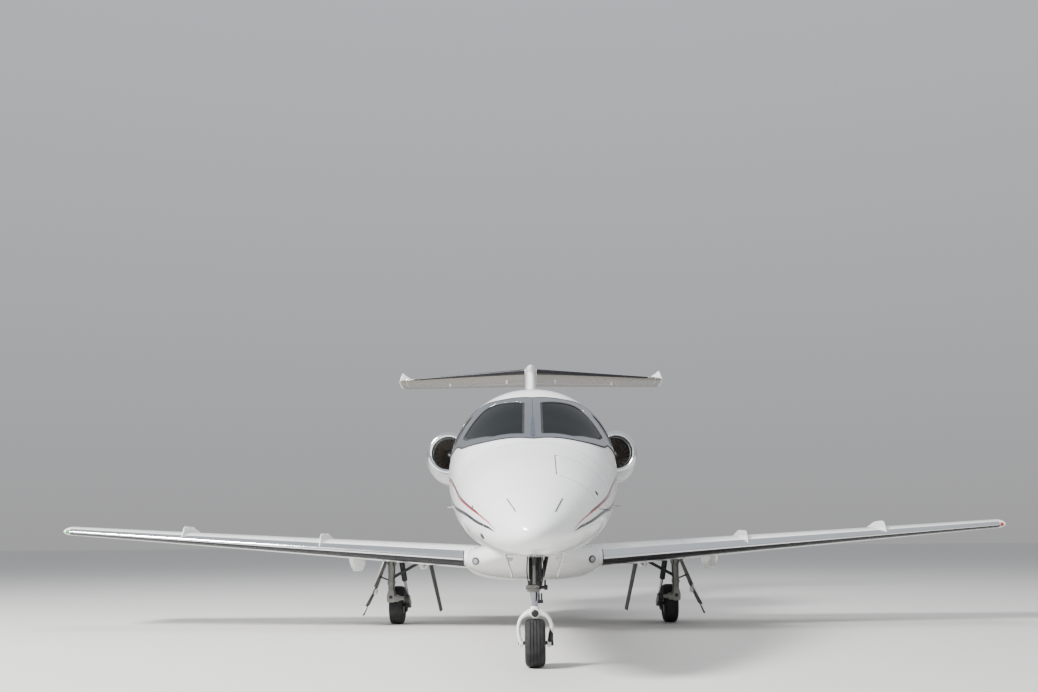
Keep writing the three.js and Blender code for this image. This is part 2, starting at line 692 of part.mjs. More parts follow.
const BULLET = [
  // station, half width, top, bottom
  [11120, 12, 4252, 4224],
  [11230, 62, 4290, 4160],
  [11450, 102, 4304, 4116],
  [11750, 108, 4308, 4108],
  [12300, 82, 4298, 4100],
  [LENGTH, 8, 4240, 4200],
];
const BULLET_SIDES = 12;

/** A value of a table's column, on straight lines over its first column. */
function alongTable(table, place, column) {
  const next = Math.max(1, table.findIndex((row) => row[0] >= place));
  const [a, b] = [table[next - 1], table[next]];
  return a[column] + ((b[column] - a[column]) * (place - a[0])) / (b[0] - a[0]);
}

function finRing([z, front, back, thickness]) {
  const chord = back - front;
  return profile(chord, thickness / chord, 0, 0).map(([aft, up]) => at(up * chord, front + aft * chord, z));
}

/** A section of the tailplane, made thicker by a margin all round. */
function stabilizerRing([x, front, back, height, thickness, fall], margin) {
  const chord = back - front + 2 * margin;
  return profile(chord, (thickness + 2 * margin) / chord, 0, 0)
    .map(([aft, up]) => at(x, front - margin + aft * chord, height - aft * fall + up * chord));
}

/** A point on the fin's hinge line, and the fin's half thickness there. */
function finHinge(z, share) {
  const [front, back, thickness] = [1, 2, 3].map((column) => alongTable(FIN, z, column));
  const chord = back - front;
  return { point: at(0, front + share * chord, z), radius: halfThickness(share, thickness / chord) * chord };
}

function stabilizerHinge(x, share) {
  const [front, back, height, thickness, fall] = [1, 2, 3, 4, 5].map((column) => (
    alongTable(STABILIZER, x, column)
  ));
  const chord = back - front;
  return {
    point: at(x, front + share * chord, height - share * fall),
    radius: halfThickness(share, thickness / chord) * chord,
  };
}

const RUDDER_ENDS = [RUDDER.bottom - RUDDER.overrun, RUDDER.top + RUDDER.overrun]
  .map((z) => finHinge(z, RUDDER.share));
const RUDDER_HINGE = RUDDER_ENDS.map(({ point }) => point);
const ELEVATOR_ENDS = [ELEVATOR.inner, ELEVATOR.outer].map((x) => stabilizerHinge(x, ELEVATOR.share));
const ELEVATOR_HINGE = ELEVATOR_ENDS.map(({ point }) => point);
const radiiOf = (ends) => ends.map(({ radius }) => radius + EDGE_THICKNESS / 2);

const FIN_SOLID = loft(FIN.map(finRing), 'z');

function bulletSolid(margin = 0) {
  return loft(BULLET.map(([station, halfWidth, top, bottom]) => (
    Array.from({ length: BULLET_SIDES }, (_, i) => {
      const angle = (2 * Math.PI * i) / BULLET_SIDES;
      const z = (top + bottom) / 2 + ((top - bottom) / 2 + margin) * Math.sin(angle);
      return at((halfWidth + margin) * Math.cos(angle), station, z);
    })
  )), 'y');
}

const tailplaneHalf = (margin) => loft(STABILIZER.map((row) => stabilizerRing(row, margin)), 'x');
const TAILPLANE_HALF = tailplaneHalf(0);

/** The tip's hollow sweep up to its crest, filled below. */
function tailTip() {
  return loft(TAIL_TIP.map(([x, front, crestStation, crest, low]) => {
    const base = alongTable(STABILIZER, x, 3) - 0.04 * (front - 12000);
    return [
      at(x, front, base - 12), at(x, front, base - 4), at(x, crestStation, crest),
      at(x, TAIL_TIP_BACK, crest - 3), at(x, TAIL_TIP_BACK, low), at(x, crestStation, low),
    ];
  }), 'x');
}

/** All that is over the middle of the tailplane at its root, where the fin ends. */
function overTailplane() {
  const [, front, back, height, , fall] = STABILIZER[0];
  return prism([
    [front - 300, height], [front, height], [back, height - fall], [back + 300, height - fall],
    [back + 300, height + 300], [front - 300, height + 300],
  ], 'x', -300, 300);
}

/** The long low fin ahead of the main one, with a rounded crest. */
function dorsalFin() {
  const { halfWidth, crest, shoulder } = DORSAL_EDGE;
  return loft(DORSAL.map(([station, top]) => [
    at(-halfWidth, station, DORSAL_BASE), at(halfWidth, station, DORSAL_BASE), at(halfWidth, station, top - shoulder),
    at(crest * 2.4, station, top - crest * 1.6), at(crest, station, top), at(-crest, station, top),
    at(-crest * 2.4, station, top - crest * 1.6), at(-halfWidth, station, top - shoulder),
  ]), 'y');
}

function fin() {
  const slot = hingeRegion(RUDDER_HINGE, radiiOf(RUDDER_ENDS), HINGE_GAP + 2)
    .intersect(rudderSpan(RUDDER.slot));
  const tailplane = tailplaneHalf(1);
  return without(
    joined(FIN_SOLID, dorsalFin()), slot, BODY_CLEARANCE, tailplane, mirrored(tailplane), bulletSolid(1),
    overTailplane(),
  );
}

/** The heights that the rudder takes up, and a margin. The slot stays open under its whole sweep. */
const rudderSpan = (margin) => box(-300, 300, 8000, 13000, RUDDER.bottom - margin, RUDDER.top + margin);

const rudder = () => FIN_SOLID.intersect(hingeRegion(RUDDER_HINGE, radiiOf(RUDDER_ENDS), 0))
  .intersect(rudderSpan(0));
const elevator = () => TAILPLANE_HALF.intersect(hingeRegion(ELEVATOR_HINGE, radiiOf(ELEVATOR_ENDS), 0));

function stabilizer() {
  const slot = hingeRegion(ELEVATOR_HINGE, radiiOf(ELEVATOR_ENDS), HINGE_GAP + 3);
  const half = joined(TAILPLANE_HALF.subtract(slot), tailTip());
  return joined(half, mirrored(half), bulletSolid());
}

function ventralFin() {
  const outline = [[10350, 1700], [10500, 1560], [11620, 1790], [11760, 2080], [11500, 2120]];
  return prism(outline, 'x', -18, 18).subtract(BODY_CLEARANCE);
}

// Engines

const ENGINE = { x: 1240, z: 2372 };
const NACELLE_OUTER = [
  // station, half width, height above the axis, depth below the axis
  [7600, 268, 268, 268],
  [7622, 300, 298, 302],
  [7740, 333, 330, 352],
  [8150, 364, 350, 438],
  [8900, 362, 348, 440],
  [9400, 318, 310, 372],
  [9900, 232, 228, 246],
];
const NACELLE_INNER = [
  // station, radius
  [9900, 214],
  [9300, 226],
  [9290, 246],
  [8110, 246],
  [8100, 240],
  [7930, 240],
  [7740, 224],
  [7608, 248],
];
const NACELLE_SIDES = 22;
const FAN = { station: 8010, radius: 230, hub: 78, blades: 14, depth: 70 };
const CORE = { from: 8118, to: 9280, radius: 245.4, nozzle: 120, nozzleEnd: 9830 };

const engineRing = (station, side, above, below) => Array.from({ length: NACELLE_SIDES }, (_, i) => {
  const angle = (2 * Math.PI * i) / NACELLE_SIDES;
  const height = Math.sin(angle) >= 0 ? above : below;
  return at(ENGINE.x + side * Math.cos(angle), station, ENGINE.z + height * Math.sin(angle));
});
const NACELLE_FILLED = loft(NACELLE_OUTER.map((row) => engineRing(...row)), 'y');

function nacelle() {
  const duct = [[9960, 212], ...NACELLE_INNER, [7560, 300]].map(([station, radius]) => (
    engineRing(station, radius, radius, radius)
  ));
  return NACELLE_FILLED.subtract(loft(duct, 'y'));
}

/** Fan: curved blades on a hub with a pointed spinner. */
function fan() {
  const { station, radius, hub, blades, depth } = FAN;
  const spinner = [[0, -150], [40, -112], [66, -50], [hub, 0], [hub, depth], [0, depth]];
  const outline = spinner.map(([r, aft]) => new THREE.Vector2(r, aft));
  const wheel = solid(new THREE.LatheGeometry(outline, 14).translate(ENGINE.x, along(station), ENGINE.z));
  const blade = (turn) => {
    const rings = [[hub - 12, 0.45, 40, 6], [radius, 0.95, 62, 4]].map(([r, pitch, width, thick], row) => {
      const sweep = turn + 0.3 * row;
      const out = new THREE.Vector3(Math.cos(sweep), 0, Math.sin(sweep));
      const across = new THREE.Vector3(-Math.sin(sweep), 0, Math.cos(sweep));
      const chordWay = across.clone().multiplyScalar(Math.sin(pitch)).setY(Math.cos(pitch));
      const faceWay = chordWay.clone().cross(out);
      const centre = at(ENGINE.x, station + depth / 2 - 2, ENGINE.z).addScaledVector(out, r);
      return [[-1, -1], [1, -1], [1, 1], [-1, 1]].map(([c, f]) => (
        centre.clone().addScaledVector(chordWay, (c * width) / 2).addScaledVector(faceWay, (f * thick) / 2)
      ));
    });
    return bladeLoft(rings);
  };
  return joined(wheel, ...Array.from({ length: blades }, (_, i) => blade((2 * Math.PI * i) / blades)));
}

/** A loft through four-cornered rings that lie in any direction. */
function bladeLoft(rings) {
  const points = rings.flat();
  const faces = [0, 2, 1, 0, 3, 2];
  const last = (rings.length - 1) * 4;
  faces.push(last, last + 1, last + 2, last, last + 2, last + 3);
  for (let i = 0; i + 1 < rings.length; i += 1) {
    for (let j = 0; j < 4; j += 1) {
      const [a, b] = [i * 4 + j, i * 4 + ((j + 1) % 4)];
      faces.push(a, b, b + 4, a, b + 4, a + 4);
    }
  }
  const geometry = new THREE.BufferGeometry().setFromPoints(points);
  geometry.setIndex(faces);
  return solid(geometry);
}

/** Engine: one plain block that fills the nacelle's middle and ends in the nozzle cone. */
function engineCore() {
  const { from, to, radius, nozzle, nozzleEnd } = CORE;
  const outline = [
    [0, from], [radius, from], [radius, to], [nozzle, to + 60], [nozzle, 9560], [0, nozzleEnd],
  ].map(([r, station]) => new THREE.Vector2(r, station - from));
  const geometry = new THREE.LatheGeometry(outline, NACELLE_SIDES).rotateY(Math.PI / 2);
  return solid(geometry.translate(ENGINE.x, along(from), ENGINE.z));
}

const PYLON = [[7980, 0], [8120, 48], [8500, 62], [9100, 58], [9560, 10]];
const PYLON_HEIGHT = 2340;

function pylon() {
  const ring = (x) => [
    ...PYLON.map(([station, half]) => at(x, station, PYLON_HEIGHT + Math.max(half, 4))),
    ...PYLON.toReversed().map(([station, half]) => at(x, station, PYLON_HEIGHT - Math.max(half, 4))),
  ];
  const swollen = loft(NACELLE_OUTER.map(([s, w, a, b]) => engineRing(s, w + 1, a + 1, b + 1)), 'y');
  return loft([ring(450), ring(1000)], 'x').subtract(swollen);
}

// Nose gear

const NOSE_WHEEL = { station: 1360, radius: 203, halfWidth: 89, rim: 100 };
const MAIN_WHEEL = { station: 6630, x: 1834, radius: 250, halfWidth: 98, rim: 128 };

/** A tyre: a rounded section turned about the axle. */
function tyre({ radius, halfWidth, rim }, centre, sides) {
  const shoulder = radius - (radius - rim) * 0.34;
  const section = [
    [rim + 1, -halfWidth * 0.8], [shoulder, -halfWidth], [radius - 10, -halfWidth * 0.74],
    [radius, -halfWidth * 0.4], [radius, halfWidth * 0.4], [radius - 10, halfWidth * 0.74],
    [shoulder, halfWidth], [rim + 1, halfWidth * 0.8],
  ];
  return turnedAboutX([...section, section[0]], centre, sides);
}

const NOSE_AXLE = at(0, NOSE_WHEEL.station, NOSE_WHEEL.radius);
const noseTyre = () => tyre(NOSE_WHEEL, NOSE_AXLE, 28);

function noseHub() {
  const { rim, halfWidth } = NOSE_WHEEL;
  const edge = halfWidth * 0.78;
  const outline = [
    [22, -edge], [50, -edge], [rim * 0.86, -edge * 0.5], [rim * 0.88, -edge * 0.9], [rim, -edge * 0.9],
    [rim, edge * 0.9], [rim * 0.88, edge * 0.9], [rim * 0.86, edge * 0.5], [50, edge], [22, edge], [22, -edge],
  ];
  return turnedAboutX(outline, NOSE_AXLE, 16);
}

const FORK = { half: 150, plate: 34, crown: 470, crownHeight: 66 };

function noseFork() {
  const { station, radius } = NOSE_WHEEL;
  const { half, plate, crown, crownHeight } = FORK;
  const leg = (side) => {
    const outline = [
      [station - 46, radius - 44], [station + 46, radius - 44], [station + 60, radius + 20],
      [station + 70, crown - 12], [station - 70, crown - 12], [station - 60, radius + 20],
    ];
    return side > 0
      ? prism(outline, 'x', half - plate, half)
      : prism(outline, 'x', -half, -half + plate);
  };
  const crownOutline = [
    [-half, crown - 50], [half, crown - 50], [half, crown - 20], [half * 0.72, crown + 8],
    [60, crown + crownHeight - 20], [-60, crown + crownHeight - 20], [-half * 0.72, crown + 8], [-half, crown - 20],
  ];
  const bridge = prism(crownOutline, 'y', station - 70, station + 70);
  const piston = rod(at(0, station, crown), at(0, station, 640), 34, 34, 12);
  const axle = rod(at(-half + 6, station, radius), at(half - 6, station, radius), 17, 17, 10);
  const link = prism([[station - 110, 500], [station - 64, 480], [station - 30, 500], [station - 30, 520],
    [station - 92, 560], [station - 100, 618], [station - 122, 618]], 'x', -26, 26);
  return joined(leg(1), leg(-1), bridge, piston, axle, link);
}

function noseLeg() {
  const { station } = NOSE_WHEEL;
  const roof = NOSE_WELL.roof - GAP;
  const barrel = rod(at(0, station, 652), at(0, station, roof), 52, 52, 14);
  const collar = rod(at(0, station, 652), at(0, station, 712), 70, 70, 14);
  const upper = rod(at(0, station, 905), at(0, station, 945), 64, 64, 14);
  const trunnion = rod(at(-NOSE_WELL.halfWidth + 1, station, 1130), at(NOSE_WELL.halfWidth - 1, station, 1130), 26, 26, 8);
  const brace = rod(at(0, station - 20, 800), at(0, NOSE_WELL.from + 24, 1170), 22, 22, 8);
  const actuator = rod(at(70, station, 760), at(150, station + 40, 1120), 18, 18, 8);
  const knob = rod(at(50, station - 8, 690), at(118, station - 8, 690), 24, 24, 8);
  return joined(barrel, collar, upper, trunnion, brace, actuator, knob);
}

/** A thin door that hangs from the edge of the nose gear's bay. */
function noseGearDoor() {
  const outline = [[252, 972], [259, 972], [198, 768], [191, 768]];
  const panel = prism(outline, 'y', NOSE_WELL.from + 15, NOSE_WELL.to - 40);
  const hinges = [1180, 1500].map((station) => box(192, 240, station, station + 40, 900, 926));
  return joined(panel, ...hinges);
}

// Main gear, port

const MAIN_AXLE = at(MAIN_WHEEL.x, MAIN_WHEEL.station, MAIN_WHEEL.radius);
const LEG_X = 1880;
const LEG_STATION = 6298;
const ARM_X = 1676;
const mainTyre = () => tyre(MAIN_WHEEL, MAIN_AXLE, 30);

function mainHub() {
  const { rim, halfWidth } = MAIN_WHEEL;
  const edge = halfWidth * 0.8;
  const outline = [
    [0, -edge * 0.1], [0, edge * 0.72], [44, edge * 0.72], [56, edge * 0.3], [rim * 0.84, edge * 0.3],
    [rim * 0.88, edge * 0.86], [rim, edge * 0.86], [rim, -edge * 0.86], [rim * 0.88, -edge * 0.86],
    [rim * 0.84, -edge * 0.1], [0, -edge * 0.1],
  ];
  return turnedAboutX(outline, MAIN_AXLE, 16);
}

/** The wing and its fairings, a little lower than they are, to cut what is fixed under them. */
const WING_CLEARANCE = joined(
  WING_SOLID,
  WING_SOLID.translate([0, 0, -GAP * 2]),
  ...FLAP_FAIRINGS.map(([x, halfWidth, lowest]) => flapFairing([x, halfWidth + 1, lowest - 1, 0]).pod),
);
const underWing = (body) => body.subtract(WING_CLEARANCE);

function mainLeg() {
  const leg = rod(at(LEG_X, LEG_STATION, 345), at(LEG_X, LEG_STATION + 20, 880), 46, 54, 12);
  const boss = rod(at(LEG_X + 58, LEG_STATION, 352), at(ARM_X - 34, LEG_STATION, 352), 48, 48, 12);
  const mount = box(LEG_X - 62, LEG_X + 62, LEG_STATION - 85, LEG_STATION + 105, 790, 890);
  const brace = rod(at(LEG_X - 20, LEG_STATION, 622), at(1500, LEG_STATION + 12, 820), 20, 20, 8);
  return underWing(joined(leg, boss, mount, brace)).subtract(armBore());
}

/** Room for the arm's eye on the boss. */
const armBore = () => box(ARM_X - 60, ARM_X + 36, LEG_STATION - 90, LEG_STATION + 90, 250, 460)
  .subtract(rod(at(ARM_X - 80, LEG_STATION, 352), at(ARM_X + 60, LEG_STATION, 352), 26, 26, 12));

function mainTrailingArm() {
  const { station, radius, x } = MAIN_WHEEL;
  const eye = rod(at(ARM_X - 30, LEG_STATION, 352), at(ARM_X + 30, LEG_STATION, 352), 52, 52, 12);
  const beam = prism([
    [LEG_STATION, 312], [LEG_STATION + 40, 306], [station + 10, radius - 46], [station + 44, radius - 20],
    [station + 44, radius + 26], [station, radius + 46], [LEG_STATION + 200, 366], [LEG_STATION, 396],
  ], 'x', ARM_X - 24, ARM_X + 24);
  const axle = rod(at(ARM_X, station, radius), at(x - 20, station, radius), 20, 20, 8);
  const brake = rod(at(ARM_X + 24, station, radius), at(ARM_X + 48, station, radius), 92, 92, 14);
  const shock = rod(at(ARM_X, LEG_STATION + 170, 350), at(ARM_X + 48, LEG_STATION + 120, 600), 24, 24, 8);
  const cylinder = rod(at(ARM_X + 42, LEG_STATION + 126, 570), at(ARM_X + 90, LEG_STATION + 80, 880), 36, 36, 10);
  const bore = rod(at(ARM_X - 80, LEG_STATION, 352), at(ARM_X + 80, LEG_STATION, 352), 26.5, 26.5, 12);
  return underWing(joined(eye, beam, axle, brake, shock, cylinder).subtract(bore));
}

/** Outer gear door: a tapering plate that slants out from the leg, with its link. */
function mainGearDoorOuter() {
  const corners = [
    // X, height, front station, back station
    [1965, 838, 6130, 6470],
    [2085, 505, 6150, 6450],
    [2195, 262, 6165, 6440],
    [2200, 250, 6250, 6330],
    [2245, 135, 6270, 6320],
  ];
  const thick = 11;
  const rings = corners.map(([x, z, front, back]) => [
    at(x - thick, front, z), at(x + thick, front, z), at(x + thick, back, z), at(x - thick, back, z),
  ]);
  const link = rod(at(LEG_X + 44, LEG_STATION, 590), at(2052, LEG_STATION, 640), 11, 11, 8);
  return underWing(joined(loft(rings, 'z'), link)).subtract(rod(
    at(LEG_X, LEG_STATION, 345), at(LEG_X, LEG_STATION + 20, 880), 47, 55, 12,
  ));
}

/** Inner gear door: a thin plate that hangs under the wing root beside the bay. */
function mainGearDoorInner() {
  const rings = [
    [[1424, 900], [1408, 900]],
    [[1250, 168], [1236, 168]],
  ].map((row, end) => {
    const [front, back] = end ? [6430, 6775] : [6370, 6832];
    const [[outer, z], [inner]] = row;
    return [at(inner, front, z), at(outer, front, z), at(outer, back, z), at(inner, back, z)];
  });
  return underWing(loft(rings, 'z'));
}

// Cabin

const FLOOR = { top: 1140, bottom: 1104 };

function cabinFloor() {
  const inside = bodyHollow(1760, 7130, WALL + 8);
  const slab = box(-800, 800, 1760, 7120, FLOOR.bottom, FLOOR.top);
  const screens = [[4020, 230], [6900, 230]].flatMap(([station, gap]) => [
    box(gap, 900, station, station + 30, FLOOR.top - 10, 2700),
    box(-900, -gap, station, station + 30, FLOOR.top - 10, 2700),
  ]);
  const riser = box(-700, 700, 1770, 1820, FLOOR.top - 10, 1700);
  const sill = sideAt(3600, AIRSTAIR.bottom) - 155;
  const doorFoot = box(sill, 900, AIRSTAIR.from - 12, AIRSTAIR.to + 12, FLOOR.bottom - 5, FLOOR.top + 5);
  return joined(slab, ...screens, riser).intersect(inside).subtract(doorFoot);
}

function instrumentPanel() {
  const outline = [[2080, 1690], [2390, 1690], [2400, 1740], [2330, 1990], [2290, 2010], [2080, 1965]];
  const panel = prism(outline, 'x', -640, 640);
  const pedestal = box(-110, 110, 2150, 2620, FLOOR.top + GAP, 1700);
  return joined(panel, pedestal).intersect(bodyHollow(1900, 2900, WALL + 8));
}

/** A seat on two feet: cushion, back and head rest, facing forward (1) or aft (-1). */
function seat(x, station, facing, seatZ) {
  const back = [
    [station + facing * 190, seatZ - 30], [station + facing * 290, seatZ - 30],
    [station + facing * 390, seatZ + 560], [station + facing * 370, seatZ + 760],
    [station + facing * 300, seatZ + 760], [station + facing * 290, seatZ + 560],
  ];
  const [front, rear] = [station - 260, station + 260];
  const foot = Math.sign(x) * 350;
  return joined(
    box(x - 235, x + 235, front, rear, seatZ - 130, seatZ),
    prism(back, 'x', x - 215, x + 215),
    box(foot - 90, foot + 90, station - 180, station + 180, FLOOR.top + GAP, seatZ - 120),
  );
}

const railed = (seats, from, to) => joined(
  ...seats,
  ...[-1, 1].map((side) => box(side * 330 - 20, side * 330 + 20, from, to, FLOOR.top + GAP, FLOOR.top + 22)),
  box(-340, 340, from, from + 40, FLOOR.top + GAP, FLOOR.top + 22),
);

const pilotSeats = () => railed([seat(330, 2980, 1, 1490), seat(-330, 2980, 1, 1490)], 2700, 3250);
const cabinSeats = () => railed(
  [[4640, -1], [6000, 1]].flatMap(([station, facing]) => [1, -1].map((side) => seat(side * 400, station, facing, 1540))),
  4380, 6260,
);

// Assembly

const jet = new THREE.Group();

/** Adds one named piece. A hinge is kept with the piece that turns on it. */
function addPiece(name, body, finish, hinge) {
  const material = new THREE.MeshStandardMaterial({ ...FINISHES[finish], flatShading: true });
  const mesh = new THREE.Mesh(geometryOf(body), material);
  mesh.name = name;
  if (hinge) mesh.userData.hinge = hinge;
  jet.add(mesh);
}

/** Adds a port piece and its mirror image, each then fitted to what it meets in the middle. */
function addPair(name, body, finish, hinge, fitted = (piece) => piece) {
  addPiece(`${name}_left`, fitted(body), finish, hinge);
  const other = hinge && hinge.map((p) => new THREE.Vector3(-p.x, p.y, p.z));
  addPiece(`${name}_right`, fitted(mirrored(body)), finish, other);
}

const againstBody = (piece) => without(piece, FAIRING_CLEARANCE, BODY_CLEARANCE);

const skinLine = ({ from, to }, point) => [point(from), point(to)];

addPiece('radome', radome(), 'white');
addPiece('fuselage_nose', fuselageNose(), 'white');
addPiece('fuselage_forward', fuselageForward(), 'white');
addPiece('fuselage_centre', fuselageCentre(), 'white');
addPiece('fuselage_rear', fuselageRear(), 'white');
addPiece('tail_cone', tailCone(), 'white');
addPiece('belly_fairing', bellyFairing(), 'white');
addPiece('airstair_door', airstairDoor(), 'white', skinLine(
  AIRSTAIR, (s) => at(sideAt(3600, AIRSTAIR.bottom), s, AIRSTAIR.bottom),
));
addPiece('nose_baggage_door', noseBaggageDoor(), 'white', skinLine(
  NOSE_HATCH, (s) => at(NOSE_HATCH.inner, s, roofAt(s, NOSE_HATCH.inner)),
));
addPiece('aft_baggage_door', aftBaggageDoor(), 'white', skinLine(
  AFT_HATCH, (s) => at(sideAt(s, AFT_HATCH.top), s, AFT_HATCH.top),
));
addPiece('emergency_exit', emergencyExit(), 'white');
addPair('windshield', windshieldPane(), 'glass');
addPair('cockpit_side_window', cockpitSidePane(), 'glass');
addPair('cabin_windows', cabinWindows(), 'glass');
addPair('wing', wing(), 'white', null, againstBody);
addPair('flap', flap(), 'white', FLAP_HINGE);
addPair('aileron', aileron(), 'white', AILERON_HINGE);
addPiece('fin', fin(), 'white');
addPiece('rudder', rudder(), 'white', RUDDER_HINGE);
addPiece('stabilizer', stabilizer(), 'white');
addPair('elevator', elevator(), 'white', ELEVATOR_HINGE);
addPiece('ventral_fin', ventralFin(), 'white');
addPair('nacelle', nacelle(), 'white');
addPair('fan', fan(), 'dark', [at(ENGINE.x, FAN.station, ENGINE.z), at(ENGINE.x, FAN.station + 100, ENGINE.z)]);
addPair('engine_core', engineCore(), 'dark');
addPair('pylon', pylon(), 'white', null, againstBody);
addPiece('nose_leg', noseLeg(), 'grey');
addPiece('nose_fork', noseFork(), 'white', [at(0, NOSE_WHEEL.station, 652), at(0, NOSE_WHEEL.station, 0)]);
addPiece('nose_hub', noseHub(), 'grey', [NOSE_AXLE, NOSE_AXLE.clone().setX(100)]);
addPiece('nose_tyre', noseTyre(), 'rubber');
addPair('nose_gear_door', noseGearDoor(), 'white', null, againstBody);
addPair('main_leg', mainLeg(), 'grey');
addPair('main_trailing_arm', mainTrailingArm(), 'grey');
addPair('main_hub', mainHub(), 'grey', [MAIN_AXLE, MAIN_AXLE.clone().setX(MAIN_WHEEL.x + 100)]);
addPair('main_tyre', mainTyre(), 'rubber');
addPair('main_gear_door_outer', mainGearDoorOuter(), 'white');
addPair('main_gear_door_inner', mainGearDoorInner(), 'white', null, againstBody);
addPiece('cabin_floor', cabinFloor(), 'carpet');
addPiece('instrument_panel', instrumentPanel(), 'dark');
addPiece('pilot_seats', pilotSeats(), 'leather');
addPiece('cabin_seats', cabinSeats(), 'leather');

export default jet;
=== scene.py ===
"""A light business jet with two engines and a T-tail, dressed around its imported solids.

Metres. +Z is up, the nose points to -Y and the port side is +X, as in the solids. Places along the
length are stations, counted aft from the tip of the nose. Each sub-assembly is a class that holds its
sizes, works out its surfaces as whole arrays and dresses them.
"""
import logging
import math
from dataclasses import dataclass
from enum import Enum
from typing import Callable, Sequence

import bpy
import numpy as np
from mathutils import Matrix, Vector
from mathutils.geometry import delaunay_2d_cdt

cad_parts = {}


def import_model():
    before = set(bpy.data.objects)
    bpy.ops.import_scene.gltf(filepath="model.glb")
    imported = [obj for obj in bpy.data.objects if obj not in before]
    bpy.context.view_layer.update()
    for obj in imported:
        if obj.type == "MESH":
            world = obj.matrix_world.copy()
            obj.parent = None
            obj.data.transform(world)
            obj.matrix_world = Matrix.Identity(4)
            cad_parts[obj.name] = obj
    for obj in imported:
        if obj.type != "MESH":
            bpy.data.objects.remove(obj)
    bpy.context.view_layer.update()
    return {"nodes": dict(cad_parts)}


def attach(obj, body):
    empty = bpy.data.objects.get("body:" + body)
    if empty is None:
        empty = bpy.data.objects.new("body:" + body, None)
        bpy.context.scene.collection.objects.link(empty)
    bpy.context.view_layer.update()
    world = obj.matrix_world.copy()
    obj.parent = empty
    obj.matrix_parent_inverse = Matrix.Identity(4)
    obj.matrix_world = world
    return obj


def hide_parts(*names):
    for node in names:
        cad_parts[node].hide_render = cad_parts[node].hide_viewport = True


Array = np.ndarray
Point = Sequence[float]
Outline = Sequence[Point]
Color = tuple[float, float, float]
Socket = bpy.types.NodeSocket
Piece = bpy.types.Object
Mesh = bpy.types.Mesh

LENGTH = 12.82
# Heights of a skin's outer and inner side above the surface that it follows
SKIN_OUTER = 0.0022
SKIN_INNER = 0.0014
# Points closer than this are one point, and no length is divided by less than the least
WELD_DISTANCE = 1e-5
LEAST_LENGTH = 1e-12
# Edges that turn by more degrees stay sharp: solids, turned parts, small pieces, bends, skins and caps
SOLID_SHARP = 28.0
GEAR_SHARP = 30.0
PIECE_SHARP = 35.0
BEND_SHARP = 40.0
SKIN_SHARP = 50.0
CAP_SHARP = 60.0
log = logging.getLogger("jet")


class Side(Enum):
    """The two sides of the jet, as the sign of X."""

    LEFT = 1.0
    RIGHT = -1.0

    def name_of(self, base: str) -> str:
        """The name of this side's piece."""
        return f"{base}_{self.name.lower()}"


# Curves and outlines


def place(x: Array | float, station: Array | float, z: Array | float) -> Array:
    """Points of the model from their X, station and height."""
    return np.stack(np.broadcast_arrays(x, np.asarray(station, float) - LENGTH / 2, z), axis=-1)


def monotone(places: Sequence[float], values: Sequence[float]) -> Callable[[Array], Array]:
    """A smooth curve that never overshoots its values: cubics with harmonic mean slopes.

    Args:
        places: rising places.
        values: the value at each place.

    Returns:
        A function of an array of places.
    """
    xs, ys = np.asarray(places, float), np.asarray(values, float)
    steps = np.diff(xs)
    slopes = np.diff(ys) / steps
    before, after = slopes[:-1], slopes[1:]
    total = np.where(before + after == 0, 1, before + after)
    inner = np.where(before * after > 0, 2 * before * after / total, 0)
    tangents = np.concatenate([slopes[:1], inner, slopes[-1:]])

    def curve(x: Array) -> Array:
        """The cubic between the two nearest places, from its end values and end slopes.

        Args:
            x: the places.

        Returns:
            The curve's values.
        """
        x = np.asarray(x, float)
        k = np.clip(np.searchsorted(xs, x) - 1, 0, len(steps) - 1)
        t = np.clip((x - xs[k]) / steps[k], 0, 1)
        ends = (2 * t**3 - 3 * t**2 + 1) * ys[k] + (3 * t**2 - 2 * t**3) * ys[k + 1]
        return ends + steps[k] * ((t**3 - 2 * t**2 + t) * tangents[k] + (t**3 - t**2) * tangents[k + 1])

    return curve


def signed_power(value: Array, power: float) -> Array:
    """A power that keeps the value's sign."""
    return np.sign(value) * np.abs(value) ** power


def circle(count: int) -> Array:
    """Evenly parted angles of a full turn, without its end."""
    return np.linspace(0, 2 * np.pi, count, endpoint=False)


def pairs(first: Array | float, second: Array | float) -> Array:
    """Rows of two numbers, either of which may be the same in all rows."""
    return np.stack(np.broadcast_arrays(first, second), axis=-1)


def mirrored(outline: Array) -> Array:
    """The other side's outline, from one side's stations and angles."""
    return pairs(outline[:, 0], np.pi - outline[:, 1])


def spans(outline: Array, rows: int, columns: int) -> tuple[Array, Array]:
    """Evenly parted places of both parameters across an outline.

    Args:
        outline: pairs of parameters.
        rows: how many places the first has.
        columns: how many places the second has.

    Returns:
        The places of each parameter.
    """
    low, high = outline.min(axis=0), outline.max(axis=0)
    return np.linspace(low[0], high[0], rows), np.linspace(low[1], high[1], columns)


def smooth_path(points: Outline, count: int) -> Array:
    """A smooth path through points, evenly parted by its length: one monotone curve for each coordinate.

    Args:
        points: the points, of two or three coordinates.
        count: how many points come back.

    Returns:
        The path's points.
    """
    known = np.asarray(points, float)
    reach = np.concatenate([[0], np.cumsum(np.linalg.norm(np.diff(known, axis=0), axis=1))])
    fine = np.linspace(0, reach[-1], count)
    return np.stack([monotone(reach, column)(fine) for column in known.T], axis=-1)


def dense(outline: Outline, step: float) -> Array:
    """A closed outline with a point at least every step along its straight sides.

    Args:
        outline: the closed outline.
        step: the longest part of a side.

    Returns:
        The outline with its added points.
    """
    corners = np.asarray(outline, float)
    parts = []
    for a, b in zip(corners, np.roll(corners, -1, axis=0)):
        count = max(1, math.ceil(np.linalg.norm(b - a) / step))
        parts.append(a + (b - a) * np.linspace(0, 1, count, endpoint=False)[:, None])
    return np.concatenate(parts)


